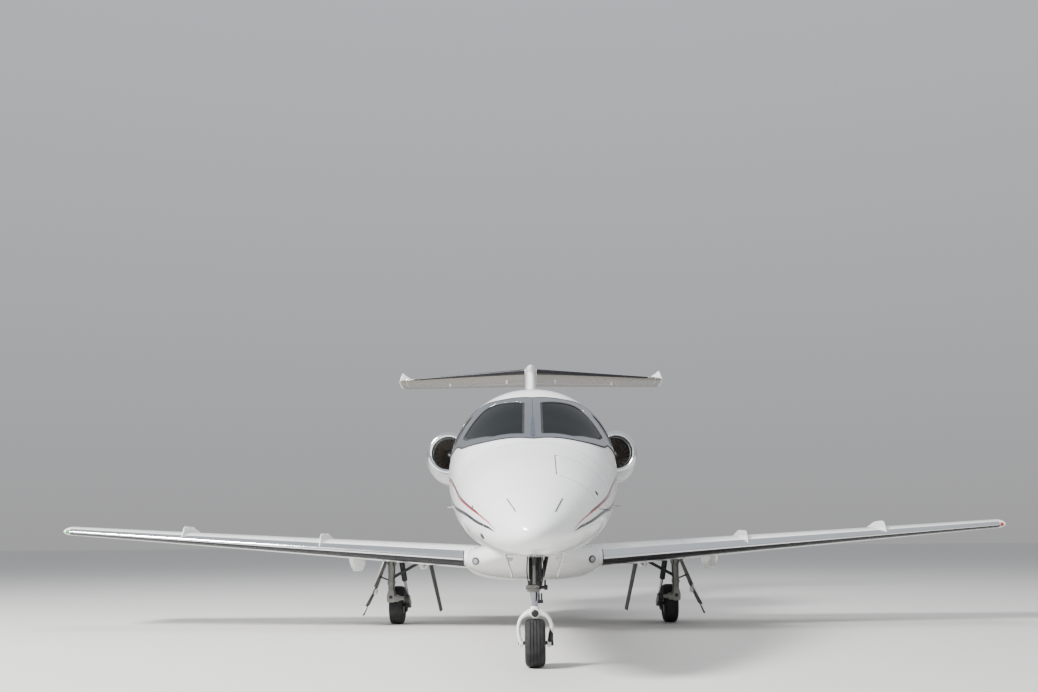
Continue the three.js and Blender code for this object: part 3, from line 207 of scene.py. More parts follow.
def rounded(outline: Outline, radius: float, steps: int = 5) -> Array:
    """A closed outline with its corners rounded: each corner becomes a quadratic curve between its sides.

    Args:
        outline: the corners.
        radius: how far from the corner the curve starts on each side.
        steps: how many parts each curve has.

    Returns:
        The rounded outline.
    """
    corners = np.asarray(outline, float)
    t = np.linspace(0, 1, steps + 1)[:, None]
    parts = []
    for before, corner, after in zip(np.roll(corners, 1, axis=0), corners, np.roll(corners, -1, axis=0)):
        reach = min(radius, 0.45 * np.linalg.norm(before - corner), 0.45 * np.linalg.norm(after - corner))
        start = corner + (before - corner) / np.linalg.norm(before - corner) * reach
        end = corner + (after - corner) / np.linalg.norm(after - corner) * reach
        parts.append((1 - t) ** 2 * start + 2 * t * (1 - t) * corner + t**2 * end)
    return np.concatenate(parts)


def grown(outline: Outline, distance: float) -> Array:
    """A closed outline moved outwards by a distance, along the mean normal of its two sides at each point.

    Args:
        outline: the closed outline.
        distance: how far outwards, or inwards if negative.

    Returns:
        The moved outline.
    """
    points = np.asarray(outline, float)
    after = np.roll(points, -1, axis=0) - points
    after /= np.linalg.norm(after, axis=1)[:, None]
    before = np.roll(after, 1, axis=0)
    middle = before + after
    middle /= np.linalg.norm(middle, axis=1)[:, None]
    area = np.sum(points[:, 0] * np.roll(points[:, 1], -1) - np.roll(points[:, 0], -1) * points[:, 1])
    normal = pairs(middle[:, 1], -middle[:, 0]) * np.sign(area)
    return points + normal * (distance / np.clip(np.sum(middle * before, axis=1), 0.5, 1))[:, None]


def inside(outline: Outline, points: Array) -> Array:
    """Which points lie in a closed outline, by counting the sides to the right of each point.

    Args:
        outline: the closed outline.
        points: the points.

    Returns:
        Whether each point lies inside.
    """
    a = np.asarray(outline, float)[:, None]
    b = np.roll(np.asarray(outline, float), -1, axis=0)[:, None]
    x, y = points[None, :, 0], points[None, :, 1]
    crosses = (a[..., 1] > y) != (b[..., 1] > y)
    rise = np.where(b[..., 1] == a[..., 1], 1, b[..., 1] - a[..., 1])
    where = a[..., 0] + (y - a[..., 1]) * (b[..., 0] - a[..., 0]) / rise
    return np.sum(crosses & (x < where), axis=0) % 2 == 1


# Meshes as arrays


@dataclass
class Patch:
    """A surface as arrays: points, faces of three or four corners, and which finish its first faces have."""

    points: Array
    faces: list[Array]
    tags: Array | None = None

    @staticmethod
    def grid(points: Array, around: bool = False, closed: bool = False, capped: bool = False) -> "Patch":
        """The surface through a grid of points, with a quad between each two rows and columns.

        Args:
            points: an array of rows, columns and three coordinates.
            around: whether the last column meets the first.
            closed: whether the last row meets the first.
            capped: whether each end row is closed with a fan about its middle.

        Returns:
            The surface.
        """
        rows, columns = points.shape[:2]
        index = np.arange(rows * columns).reshape(rows, columns)
        if around:
            index = np.concatenate([index, index[:, :1]], axis=1)
        if closed:
            index = np.concatenate([index, index[:1]], axis=0)
        quads = np.stack([index[:-1, :-1], index[:-1, 1:], index[1:, 1:], index[1:, :-1]], axis=-1)
        flat, faces = points.reshape(-1, 3), [quads.reshape(-1, 4)]
        if capped:
            middles = points[[0, -1]].mean(axis=1)
            for row, middle, turned in ((0, rows * columns, True), (rows - 1, rows * columns + 1, False)):
                rim = np.arange(columns) + row * columns
                fan = np.stack([rim, np.roll(rim, -1), np.full(columns, middle)], axis=-1)
                faces.append(fan[:, ::-1] if turned else fan)
            flat = np.concatenate([flat, middles])
        return Patch(flat, faces).outward() if capped or (around and closed) else Patch(flat, faces)

    @staticmethod
    def solid(rings: Array) -> "Patch":
        """The closed surface through rings, with both ends filled."""
        return Patch.grid(rings, around=True, capped=True)

    @staticmethod
    def wall(outer: Array, inner: Array) -> "Patch":
        """The closed wall between two grids of rings."""
        return Patch.grid(outer, around=True).shell(inner)

    @staticmethod
    def joined(patches: Sequence["Patch"]) -> "Patch":
        """Several surfaces as one.

        Args:
            patches: the surfaces.

        Returns:
            One surface of them all.
        """
        starts = np.cumsum([0] + [len(p.points) for p in patches[:-1]])
        faces = [f + start for p, start in zip(patches, starts) for f in p.faces]
        return Patch(np.concatenate([p.points for p in patches]), faces)

    def moved(self, x: float = 0.0, y: float = 0.0, z: float = 0.0) -> "Patch":
        """The surface, moved."""
        return Patch(self.points + (x, y, z), self.faces)

    def turned(self, turn: Matrix) -> "Patch":
        """The surface, turned about the origin."""
        return Patch(self.points @ np.array(turn.to_3x3()).T, self.faces)

    def on(self, side: Side) -> "Patch":
        """The surface for the port side, or its mirror image for the other with faces turned outwards.

        Args:
            side: the side.

        Returns:
            The surface of that side.
        """
        if side is Side.LEFT:
            return self
        return Patch(self.points * (-1, 1, 1), [f[:, ::-1] for f in self.faces], self.tags)

    def outward(self) -> "Patch":
        """The closed surface with faces pointing out, by the sign of the volume that it holds.

        Returns:
            The surface, turned where it was inside out.
        """
        volume = 0.0
        for f in self.faces:
            for k in range(1, f.shape[1] - 1):
                a, b, c = (self.points[f[:, i]] for i in (0, k, k + 1))
                volume += float(np.sum(a * np.cross(b, c)))
        return self if volume >= 0 else Patch(self.points, [f[:, ::-1] for f in self.faces], self.tags)

    def weld(self, distance: float = WELD_DISTANCE) -> tuple[Array, list[Array]]:
        """Which points to keep so that none lie closer than a distance, and the faces that stay on them.

        Args:
            distance: how close points are taken as one.

        Returns:
            The indices of the points kept, and the faces between them.
        """
        keys = np.round(self.points / distance).astype(np.int64)
        _, first, index = np.unique(keys, axis=0, return_index=True, return_inverse=True)
        kept = []
        for f in (index.ravel()[f] for f in self.faces):
            same = f == np.roll(f, -1, axis=1)
            kept.append(f[~same.any(axis=1)])
            if f.shape[1] == 4:
                folded = f[same.sum(axis=1) == 1]
                corner = (folded == np.roll(folded, -1, axis=1)).argmax(axis=1)
                kept.append(folded[np.arange(len(folded))[:, None], (corner[:, None] + (1, 2, 3)) % 4])
        return first, [f for f in kept if len(f)]

    def welded(self) -> "Patch":
        """The surface with points that meet made one."""
        first, faces = self.weld()
        return Patch(self.points[first], faces)

    def border(self) -> Array:
        """The edges that only one face has, in that face's direction.

        Returns:
            Rows of two corners.
        """
        edges = np.concatenate([
            pairs(f[:, i], f[:, (i + 1) % f.shape[1]]) for f in self.faces for i in range(f.shape[1])
        ])
        count = len(self.points)
        forward, backward = edges @ (count, 1), edges @ (1, count)
        return edges[~np.isin(forward, backward)]

    def shell(self, inner: Array) -> "Patch":
        """A closed shell between this surface and the same surface with other points, joined at the border.

        Args:
            inner: the points of the inner side.

        Returns:
            The shell, with faces pointing out.
        """
        first, faces = self.weld()
        outer, count = Patch(self.points[first], faces), len(first)
        rim = outer.border()
        walls = np.stack([rim[:, 1], rim[:, 0], rim[:, 0] + count, rim[:, 1] + count], axis=-1)
        faces = faces + [f[:, ::-1] + count for f in faces] + ([walls] if len(walls) else [])
        return Patch(np.concatenate([outer.points, inner.reshape(-1, 3)[first]]), faces, self.tags).outward()

    def mesh(self, name: str) -> Mesh:
        """A mesh of this surface.

        Args:
            name: its name.

        Returns:
            The mesh.
        """
        data = bpy.data.meshes.new(name)
        sizes = np.concatenate([np.full(len(f), f.shape[1]) for f in self.faces])
        corners = np.concatenate([f.ravel() for f in self.faces])
        data.vertices.add(len(self.points))
        data.vertices.foreach_set("co", self.points.astype(np.float32).ravel())
        data.loops.add(len(corners))
        data.loops.foreach_set("vertex_index", corners.astype(np.int32))
        data.polygons.add(len(sizes))
        data.polygons.foreach_set("loop_start", (np.cumsum(sizes) - sizes).astype(np.int32))
        if self.tags is not None:
            finishes = np.zeros(len(sizes), np.int32)
            finishes[:len(self.tags)] = self.tags
            data.polygons.foreach_set("material_index", finishes)
        data.update(calc_edges=True)
        return data


Shape = Callable[[Array, Array, float], Array]


def raised(base: Callable[[Array, Array], Array], step: float = 1e-4) -> Shape:
    """A surface of two parameters that can be raised along its own normals.

    A normal is the cross product of the surface's small steps along both parameters.

    Args:
        base: the surface.
        step: the small step.

    Returns:
        A function of both parameters and a height.
    """
    def shape(u: Array, v: Array, height: float) -> Array:
        """The surface's points moved along its normals by a height.

        Args:
            u: the first parameter.
            v: the second parameter.
            height: how far the points are raised.

        Returns:
            The points.
        """
        points = base(u, v)
        if not height:
            return points
        normal = np.cross(base(u + step, v) - base(u - step, v), base(u, v + step) - base(u, v - step))
        size = np.maximum(np.linalg.norm(normal, axis=-1, keepdims=True), LEAST_LENGTH)
        return points + normal / size * height

    return shape


def sheet(
    shape: Shape, us: Array, vs: Array, holes: Sequence[Array] = (), kept: Array | None = None,
    marks: Sequence[Array] = (), scale: tuple[float, float] = (1.0, 1.0), lift: float = SKIN_OUTER,
    under: float = SKIN_INNER,
) -> Patch:
    """A thin closed sheet that follows a surface of two parameters.

    The parameters' rectangle is filled with a grid and joined with the outlines into triangles that keep
    every outline as edges. The same triangles are laid at two heights above the surface.

    Args:
        shape: the surface, as a function of both parameters and a height.
        us: the first parameter's places.
        vs: the second parameter's places.
        holes: outlines that are left open, as pairs of parameters.
        kept: an outline outside which nothing stays.
        marks: outlines whose faces get the next finishes.
        scale: metres for one unit of each parameter, for well shaped triangles.
        lift: height of the outer side.
        under: height of the inner side.

    Returns:
        The sheet.
    """
    u, v = np.meshgrid(us, vs, indexing="ij")
    outlines = [np.asarray(o) * scale for o in (*holes, *marks, *([] if kept is None else [kept]))]
    if not outlines:
        return Patch.grid(shape(u, v, lift)).shell(shape(u, v, under))
    nodes = pairs(u.ravel(), v.ravel()) * scale
    low, high = nodes.min(axis=0), nodes.max(axis=0)
    edge = 0.35 * min(np.diff(us).min() * scale[0], np.diff(vs).min() * scale[1])
    far = np.ones(len(nodes), bool)
    for sides in outlines:
        way = np.roll(sides, -1, axis=0) - sides
        square = np.maximum(np.sum(way**2, axis=-1), LEAST_LENGTH)
        share = np.sum((nodes[:, None] - sides) * way, axis=-1) / square
        feet = sides + np.clip(share, 0, 1)[..., None] * way
        far &= np.min(np.linalg.norm(nodes[:, None] - feet, axis=-1), axis=1) > edge
    rim = np.any(np.isclose(nodes, low) | np.isclose(nodes, high), axis=1)
    nodes = nodes[far | rim]
    counts = [len(nodes)] + [len(o) for o in outlines]
    rings = [np.arange(n) + start for n, start in zip(counts[1:], np.cumsum(counts))]
    edges = np.concatenate([pairs(r, np.roll(r, -1)) for r in rings])
    flat = np.clip(np.concatenate([nodes, *outlines]), low, high)
    made = delaunay_2d_cdt(flat.tolist(), edges.tolist(), [], 0, 1e-6, False)
    flat, faces = np.array([tuple(p) for p in made[0]]), np.array([tuple(f) for f in made[2]])
    middles = flat[faces].mean(axis=1) / scale
    good = np.ones(len(faces), bool) if kept is None else inside(kept, middles)
    for hole in holes:
        good &= ~inside(hole, middles)
    faces, middles = faces[good], middles[good]
    u, v = (flat / scale).T
    outer, inner = shape(u, v, lift), shape(u, v, under)
    keys = np.round(outer / WELD_DISTANCE).astype(np.int64)
    _, first, index = np.unique(keys, axis=0, return_index=True, return_inverse=True)
    faces = index.ravel()[faces]
    whole = np.all(faces != np.roll(faces, -1, axis=1), axis=1)
    faces, middles = faces[whole], middles[whole]
    tags = np.zeros(len(faces), int)
    for number, mark in enumerate(marks):
        tags[inside(mark, middles)] = number + 1
    used, faces = np.unique(faces, return_inverse=True)
    first = first[used]
    return Patch(outer[first], [faces.reshape(-1, 3)], tags).shell(inner[first])


def ribbon(
    shape: Shape, path: Array, width: float | Array, lift: float = 0.003, under: float = 0.0015,
    closed: bool = False,
) -> Patch:
    """A flat strip along a path over a surface: each point of the path goes half the width to both sides.

    Args:
        shape: the surface.
        path: pairs of parameters.
        width: the strip's width, or one for each point.
        lift: height of its top above the surface.
        under: height of its underside.
        closed: whether the path closes.

    Returns:
        The closed strip.
    """
    u, v = np.asarray(path, float).T
    points = shape(u, v, 0.0)
    normal = shape(u, v, 1.0) - points
    way = np.roll(points, -1, axis=0) - np.roll(points, 1, axis=0) if closed else np.gradient(points, axis=0)
    aside = np.cross(normal, way)
    aside *= (np.broadcast_to(width, len(points)) / 2 / np.linalg.norm(aside, axis=1))[:, None]
    flat = np.stack([points - aside, points + aside], axis=1)
    return Patch.grid(flat + normal[:, None] * lift, closed=closed).shell(flat + normal[:, None] * under)


def normals_along(path: Array) -> tuple[Array, Array, Array]:
    """Directions along a path and two across it, from one steady reference that the path never follows.

    Args:
        path: the path's points.

    Returns:
        The unit tangents, and two unit normals square to them.
    """
    tangent = np.gradient(path, axis=0)
    tangent /= np.linalg.norm(tangent, axis=1)[:, None]
    reference = np.eye(3)[np.argmin(np.max(np.abs(tangent), axis=0))]
    first = np.cross(tangent, reference)
    first /= np.linalg.norm(first, axis=1)[:, None]
    return tangent, first, np.cross(tangent, first)


def tube(path: Array | Outline, radius: float | Array, sides: int = 16) -> Patch:
    """A round bar: a circle carried along a path, square to it, and closed at both ends.

    Args:
        path: points along its middle.
        radius: its radius, or one for each point.
        sides: how many sides the circle has.

    Returns:
        The closed bar.
    """
    path = np.asarray(path, float)
    _, across, up = normals_along(path)
    angle = circle(sides)[None, :, None]
    size = np.broadcast_to(np.asarray(radius, float), len(path))[:, None, None]
    rings = path[:, None] + size * (np.cos(angle) * across[:, None] + np.sin(angle) * up[:, None])
    return Patch.solid(rings)


def spindle(
    start: Point, end: Point, profile: Outline, sides: int = 24,
) -> Patch:
    """A turned piece between two points: a profile of [share of the way, radius] carried round the line.

    Args:
        start: one end of the line.
        end: its other end.
        profile: rows of the share of the way and the radius there.
        sides: how many sides the circle has.

    Returns:
        The closed turned piece.
    """
    a, b = np.asarray(start, float), np.asarray(end, float)
    rows = np.asarray(profile, float)
    way = (b - a) / np.linalg.norm(b - a)
    reference = np.eye(3)[np.argmin(np.abs(way))]
    across = np.cross(way, reference)
    across /= np.linalg.norm(across)
    up = np.cross(way, across)
    angle = circle(sides)[None, :, None]
    middle = a + rows[:, :1] * (b - a)
    rings = middle[:, None] + rows[:, 1][:, None, None] * (np.cos(angle) * across + np.sin(angle) * up)
    return Patch.solid(rings).welded()


def rod(start: Point, end: Point, radius: float, end_radius: float | None = None) -> Patch:
    """A round bar between two points with slightly rounded ends.

    Args:
        start: one end.
        end: the other end.
        radius: its radius at the start.
        end_radius: its radius at the end, where that differs.

    Returns:
        The closed bar.
    """
    last = radius if end_radius is None else end_radius
    length = float(np.linalg.norm(np.subtract(end, start)))
    edge = min(0.12 * radius, 0.2 * length) / length
    return spindle(start, end, [
        (0, radius * 0.88), (edge, radius), (1 - edge, last), (1, last * 0.88),
    ], 20)


def prism(outline: Outline, axis: str, low: float, high: float) -> Patch:
    """A closed outline carried straight along an axis and closed at both ends.

    Args:
        outline: corners as (station, z) across X, (x, z) across the length, or (x, station) across Z.
        axis: x, y or z. Along y, low and high are stations.
        low: where it starts.
        high: where it ends.

    Returns:
        The prism.
    """
    a, b = np.asarray(outline, float).T
    ends = {
        "x": lambda t: place(t, a, b),
        "y": lambda t: place(a, t, b),
        "z": lambda t: place(a, b, t),
    }[axis]
    flat = pairs(a, b)
    ring = np.arange(len(a))
    made = delaunay_2d_cdt(flat.tolist(), pairs(ring, np.roll(ring, -1)).tolist(), [], 0, 1e-7, False)
    faces = np.array([tuple(f) for f in made[2]])
    middles = np.array([tuple(p) for p in made[0]])[faces].mean(axis=1)
    return Patch(ends(low), [faces[inside(flat, middles)]]).shell(ends(high))


def block(low: Point, high: Point) -> Patch:
    """A box from its lowest to its highest X, station and Z."""
    (x0, s0, z0), (x1, s1, z1) = low, high
    return prism([(x0, z0), (x1, z0), (x1, z1), (x0, z1)], "y", s0, s1)


def spokes(piece: Patch, count: int, centre: Point) -> Patch:
    """Copies of a piece, turned evenly about the Y axis and then moved to a centre, as one surface.

    Args:
        piece: the piece at the origin.
        count: how many copies there are.
        centre: where the axis goes.

    Returns:
        The copies.
    """
    turns = (Matrix.Rotation(2 * math.pi * k / count, 4, "Y") for k in range(count))
    return Patch.joined([piece.turned(turn) for turn in turns]).moved(*centre)


def rods(rows: Outline, station: float = 0.0) -> list[Patch]:
    """Round bars from rows of both ends' X, station and height, and the radius.

    Args:
        rows: the bars.
        station: added to every station.

    Returns:
        The bars.
    """
    return [
        rod(place(x0, station + s0, z0), place(x1, station + s1, z1), radius)
        for x0, s0, z0, x1, s1, z1, radius in rows
    ]


# Finishes


class Graph:
    """The node graph of one material."""

    def __init__(self, name: str) -> None:
        """Starts a material with one shader.

        Args:
            name: the material's name.
        """
        self.material = bpy.data.materials.new(name)
        self.material.use_nodes = True
        self.tree = self.material.node_tree
        self.shader = self.tree.nodes["Principled BSDF"]

    def add(self, kind: str, inputs: dict | None = None, **settings: object) -> bpy.types.Node:
        """Adds a node.

        Args:
            kind: the node's type, without its ShaderNode prefix.
            inputs: values or sockets by input name or number.
            settings: the node's own settings.

        Returns:
            The node.
        """
        node = self.tree.nodes.new("ShaderNode" + kind)
        for key, value in settings.items():
            setattr(node, key, value)
        self.feed(node, inputs or {})
        return node

    def feed(self, node: bpy.types.Node, inputs: dict) -> None:
        """Sets a node's inputs to values, or links them to sockets.

        Args:
            node: the node.
            inputs: values or sockets by input name or number.
        """
        for key, value in inputs.items():
            if isinstance(value, Socket):
                self.tree.links.new(value, node.inputs[key])
            else:
                node.inputs[key].default_value = value

    def noise(self, scale: float, detail: float = 4.0, stretch: Point = (1, 1, 1)) -> Socket:
        """Noise over the object's own coordinates, which may be stretched along an axis.

        Args:
            scale: how fine it is.
            detail: how many octaves it has.
            stretch: scale along each axis.

        Returns:
            The noise's factor.
        """
        where = self.add("TexCoord").outputs["Object"]
        mapped = self.add("Mapping", {"Vector": where, "Scale": stretch})
        inputs = {"Vector": mapped.outputs[0], "Scale": scale, "Detail": detail}
        return self.add("TexNoise", inputs).outputs[0]

    def ramp(self, factor: Socket, low: float, high: float, start: float = 0.0, end: float = 1.0) -> Socket:
        """A factor brought from one range to another."""
        node = self.add("MapRange", {0: factor, 1: start, 2: end, 3: low, 4: high})
        return node.outputs[0]

    def blend(self, factor: Socket, first: Sequence[float], second: Sequence[float]) -> Socket:
        """A mix of two colours."""
        node = self.add("Mix", {0: factor, 6: (*first, 1), 7: (*second, 1)}, data_type="RGBA")
        return node.outputs[2]

    def bump(self, height: Socket, depth: float, strength: float = 1.0) -> None:
        """Gives the shader a bump from a height."""
        node = self.add("Bump", {"Height": height, "Distance": depth, "Strength": strength})
        self.feed(self.shader, {"Normal": node.outputs[0]})


@dataclass(frozen=True)
class Finish:
    """A surface finish. The base class is a plain satin coat with slight mottling."""

    name: str
    color: Color
    roughness: float = 0.45
    metallic: float = 0.0
    spread: float = 0.06

    def material(self) -> bpy.types.Material:
        """This finish's material, made once.

        Returns:
            The material.
        """
        found = bpy.data.materials.get(self.name)
        if found:
            return found
        graph = Graph(self.name)
        graph.feed(graph.shader, {"Metallic": self.metallic, "Roughness": self.roughness})
        self.dress(graph)
        return graph.material

    def shades(self, share: float) -> tuple[tuple[float, ...], tuple[float, ...]]:
        """Two shades of the colour, apart by a share."""
        lighter = tuple(min(1.0, c * (1 + share)) for c in self.color)
        return tuple(c * (1 - share) for c in self.color), lighter

    def dress(self, graph: Graph) -> None:
        """Mottles the colour and the roughness with noise.

        Args:
            graph: the material's graph.
        """
        patches = graph.noise(7.0, 5.0)
        graph.feed(graph.shader, {
            "Base Color": graph.blend(patches, *self.shades(self.spread)),
            "Roughness": graph.ramp(graph.noise(23.0), self.roughness * 0.85, self.roughness * 1.2),
        })
        graph.bump(graph.noise(160.0, 3.0), 0.0006, 0.25)


@dataclass(frozen=True)
class Gloss(Finish):
    """Polished aircraft paint: a clear coat over colour, faint waves, faint streaks down the sides."""

    coat: float = 0.8

    def dress(self, graph: Graph) -> None:
        """Adds the clear coat, the streaks and the waves.

        Args:
            graph: the material's graph.
        """
        streaks = graph.noise(1.6, 6.0, (1.2, 1.0, 0.12))
        graph.feed(graph.shader, {
            "Base Color": graph.blend(graph.ramp(streaks, 0, 1, 0.35, 0.75), *self.shades(self.spread)),
            "Roughness": graph.ramp(graph.noise(11.0, 6.0), self.roughness * 0.8, self.roughness * 1.3, 0.3,
                                    0.7),
            "Coat Weight": self.coat, "Coat Roughness": 0.05,
        })
        graph.bump(graph.noise(34.0, 2.0), 0.0004, 0.2)


@dataclass(frozen=True)
class Metal(Finish):
    """Bare metal with fine marks from polishing, drawn out along one axis."""

    metallic: float = 1.0
    grain: tuple[float, float, float] = (1.0, 12.0, 12.0)

    def dress(self, graph: Graph) -> None:
        """Adds the polishing marks and dull patches.

        Args:
            graph: the material's graph.
        """
        marks = graph.noise(22.0, 8.0, self.grain)
        dull = graph.noise(3.0, 5.0)
        graph.feed(graph.shader, {
            "Base Color": graph.blend(dull, *self.shades(self.spread)),
            "Roughness": graph.ramp(marks, self.roughness * 0.7, self.roughness * 1.45, 0.3, 0.7),
        })
        graph.bump(marks, 0.0003, 0.15)


@dataclass(frozen=True)
class Rubber(Finish):
    """Tyre rubber: nearly black, with grey dust and a fine grain."""

    dust: tuple[float, float, float] = (0.10, 0.095, 0.085)

    def dress(self, graph: Graph) -> None:
        """Adds the dust and the grain.

        Args:
            graph: the material's graph.
        """
        dust = graph.ramp(graph.noise(9.0, 8.0), 0, 0.75, 0.48, 0.85)
        graph.feed(graph.shader, {
            "Base Color": graph.blend(dust, self.color, self.dust),
            "Roughness": graph.ramp(graph.noise(40.0), 0.62, 0.95),
        })
        graph.bump(graph.noise(420.0, 4.0), 0.0005, 0.35)


@dataclass(frozen=True)
class Glass(Finish):
    """Tinted window glass with faint smears."""

    clear: float = 0.85
    index: float = 1.45
    coat: float = 0.6
    gloss: float = 0.5

    def dress(self, graph: Graph) -> None:
        """Lets light through, tinted, and smears the gloss.

        Args:
            graph: the material's graph.
        """
        graph.feed(graph.shader, {
            "Base Color": (*self.color, 1), "Transmission Weight": self.clear, "IOR": self.index,
            "Roughness": graph.ramp(graph.noise(5.0, 7.0, (1, 1, 0.4)), 0.0, self.roughness, 0.35, 0.8),
            "Coat Weight": self.coat, "Coat Roughness": 0.02, "Specular IOR Level": self.gloss,
        })


@dataclass(frozen=True)
class Leather(Finish):
    """Soft leather: small round grain with creases, and a slight sheen."""

    grain: float = 260.0

    def dress(self, graph: Graph) -> None:
        """Adds the grain, the creases and the worn tone.

        Args:
            graph: the material's graph.
        """
        where = graph.add("TexCoord").outputs["Object"]
        cells = graph.add("TexVoronoi", {"Vector": where, "Scale": self.grain}).outputs["Distance"]
        worn = graph.noise(6.0, 6.0)
        graph.feed(graph.shader, {
            "Base Color": graph.blend(worn, *self.shades(0.12)),
            "Roughness": graph.ramp(cells, 0.38, 0.62), "Sheen Weight": 0.15,
        })
        graph.bump(cells, 0.0012, 0.5)


@dataclass(frozen=True)
class Cloth(Finish):
    """Carpet or trim cloth: a short pile with woven rows."""

    rows: float = 180.0

    def dress(self, graph: Graph) -> None:
        """Adds the rows and the pile.

        Args:
            graph: the material's graph.
        """
        where = graph.add("TexCoord").outputs["Object"]
        weave = graph.add("TexWave", {"Vector": where, "Scale": self.rows, "Distortion": 2.0}).outputs[0]
        pile = graph.noise(320.0, 2.0)
        graph.feed(graph.shader, {
            "Base Color": graph.blend(pile, *self.shades(0.3)), "Roughness": 0.95, "Sheen Weight": 0.3,
        })
        graph.bump(weave, 0.0015, 0.5)


@dataclass(frozen=True)
class Glow(Finish):
    """A lamp's lens that glows a little."""

    power: float = 0.6

    def dress(self, graph: Graph) -> None:
        """Lights the lens and ribs it.

        Args:
            graph: the material's graph.
        """
        graph.feed(graph.shader, {
            "Base Color": (*self.color, 1), "Emission Color": (*self.color, 1),
            "Emission Strength": self.power,
            "Roughness": graph.ramp(graph.noise(90.0), 0.05, 0.2), "Coat Weight": 0.8,
        })


WHITE = Gloss("white_gloss_paint", (0.86, 0.86, 0.85), 0.22, spread=0.018)
WHITE_TRIM = Gloss("white_trim_paint", (0.78, 0.785, 0.77), 0.34, spread=0.05, coat=0.4)
POLISHED = Metal("polished_edge_metal", (0.84, 0.85, 0.86), 0.13, spread=0.06)
FRAME_METAL = Metal("windshield_frame_metal", (0.46, 0.48, 0.51), 0.15, spread=0.12, grain=(8.0, 1.0, 1.0))
CHROME = Metal("piston_chrome", (0.26, 0.27, 0.31), 0.16, spread=0.08)
STEEL = Metal("dull_steel", (0.42, 0.42, 0.41), 0.38, spread=0.15)
EXHAUST = Metal("heated_nozzle_steel", (0.20, 0.17, 0.15), 0.42, spread=0.3)
FAN_METAL = Finish("fan_titanium", (0.27, 0.235, 0.20), 0.3, 0.5, 0.12)
DUCT = Finish("duct_grey", (0.11, 0.11, 0.115), 0.5)
GEAR_GREY = Finish("gear_grey_paint", (0.19, 0.19, 0.175), 0.42, spread=0.15)
GEAR_DARK = Finish("gear_dark_metal", (0.022, 0.022, 0.024), 0.42, 0.3, 0.25)
GEAR_WHITE = Finish("gear_white_paint", (0.80, 0.80, 0.77), 0.35, spread=0.05)
# Painted shade: dark grey for the main gear doors' faces that hang in shadow under the wing
DOOR_PAINTED_SHADE = Finish("gear_door_inner", (0.06, 0.057, 0.05), 0.6, spread=0.25)
BAY_PRIMER = Finish("bay_primer", (0.30, 0.32, 0.27), 0.6, spread=0.15)
# Painted reflection: dark metal on the lower leading edges, standing for the dark ground mirrored in the
# polished edge
DARK_REFLECTION_BAND = Finish("dark_edge_metal", (0.030, 0.030, 0.034), 0.28, 0.5, 0.2)
# The tailplane's beige underside, darkened with painted shade
BEIGE_PAINTED_SHADE = Gloss("tail_underside", (0.24, 0.212, 0.17), 0.3, spread=0.05)
TYRE = Rubber("tyre_rubber", (0.010, 0.010, 0.011), 0.8, dust=(0.045, 0.043, 0.040))
SEAL = Rubber("seal_rubber", (0.015, 0.015, 0.016), 0.7, dust=(0.04, 0.04, 0.04))
PANE = Glass("tinted_windshield", (0.024, 0.029, 0.032), 0.05, clear=0.7, index=1.14, coat=0.0, gloss=0.2)
CABIN_PANE = Glass("cabin_window_glass", (0.22, 0.25, 0.26), 0.05)
RED = Gloss("stripe_red", (0.42, 0.012, 0.022), 0.3, spread=0.1)
NAVY = Gloss("stripe_dark_blue", (0.018, 0.020, 0.032), 0.3, spread=0.2)
SEAM = Finish("panel_seam", (0.16, 0.16, 0.165), 0.7)
RADOME_SEAM = Finish("radome_seam", (0.55, 0.55, 0.54), 0.6)
BLACK = Finish("matt_black", (0.02, 0.02, 0.021), 0.55, spread=0.25)
POST_BLUE = Finish("post_dark_blue", (0.045, 0.055, 0.075), 0.35, spread=0.2)
LINING = Finish("cabin_lining", (0.58, 0.56, 0.51), 0.8, spread=0.04)
CREAM = Leather("seat_leather", (0.50, 0.43, 0.33), 0.5)
PIPING = Leather("seat_piping", (0.22, 0.18, 0.13), 0.5)
CARPET = Cloth("cabin_carpet", (0.19, 0.18, 0.165), 0.95)
COVER = Cloth("panel_cover", (0.035, 0.035, 0.038), 0.9)
SCREEN = Glass("panel_screen", (0.01, 0.012, 0.016), 0.08, clear=0.0)
LAMP = Glow("landing_lamp", (0.30, 0.31, 0.33), 0.05, power=0.0)
RED_LAMP = Glow("port_lamp", (0.35, 0.015, 0.015), 0.1, power=0.05)
GREEN_LAMP = Glow("starboard_lamp", (0.02, 0.25, 0.06), 0.1, power=0.05)


def placed(name: str, data: bpy.types.ID) -> Piece:
    """A new object of the scene.

    Args:
        name: its name.
        data: its mesh, light or camera.

    Returns:
        The object.
    """
    piece = bpy.data.objects.new(name, data)
    bpy.context.scene.collection.objects.link(piece)
    return piece


def make(
    name: str, patch: Patch, finish: Finish, slot: str, body: str = "airframe", sharp: float = PIECE_SHARP,
    bevel: float = 0.0, stands_for: Sequence[str] = (),
) -> Piece:
    """Makes a piece, gives it its finish and sets it riding on a body.

    Args:
        name: the piece's name.
        patch: its surface.
        finish: its finish.
        slot: the record's material slot that the finish belongs to; not used.
        body: the body that carries it.
        sharp: edges that turn by more than this many degrees stay sharp.
        bevel: width of a rounding on sharp edges, or 0.
        stands_for: solids that this piece is shown in place of.

    Returns:
        The object.
    """
    data = patch.mesh(name)
    data.polygons.foreach_set("use_smooth", np.ones(len(data.polygons), bool))
    data.set_sharp_from_angle(angle=math.radians(sharp))
    data.materials.append(finish.material())
    piece = placed(name, data)
    if bevel:
        rounding = piece.modifiers.new("rounding", "BEVEL")
        rounding.width, rounding.segments = bevel, 2
        rounding.limit_method, rounding.angle_limit = "ANGLE", math.radians(sharp)
        rounding.harden_normals = True
    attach(piece, body)
    if stands_for:
        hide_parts(*stands_for)
    log.info("made %s", name)
    return piece


NODES: dict[str, Piece] = {}


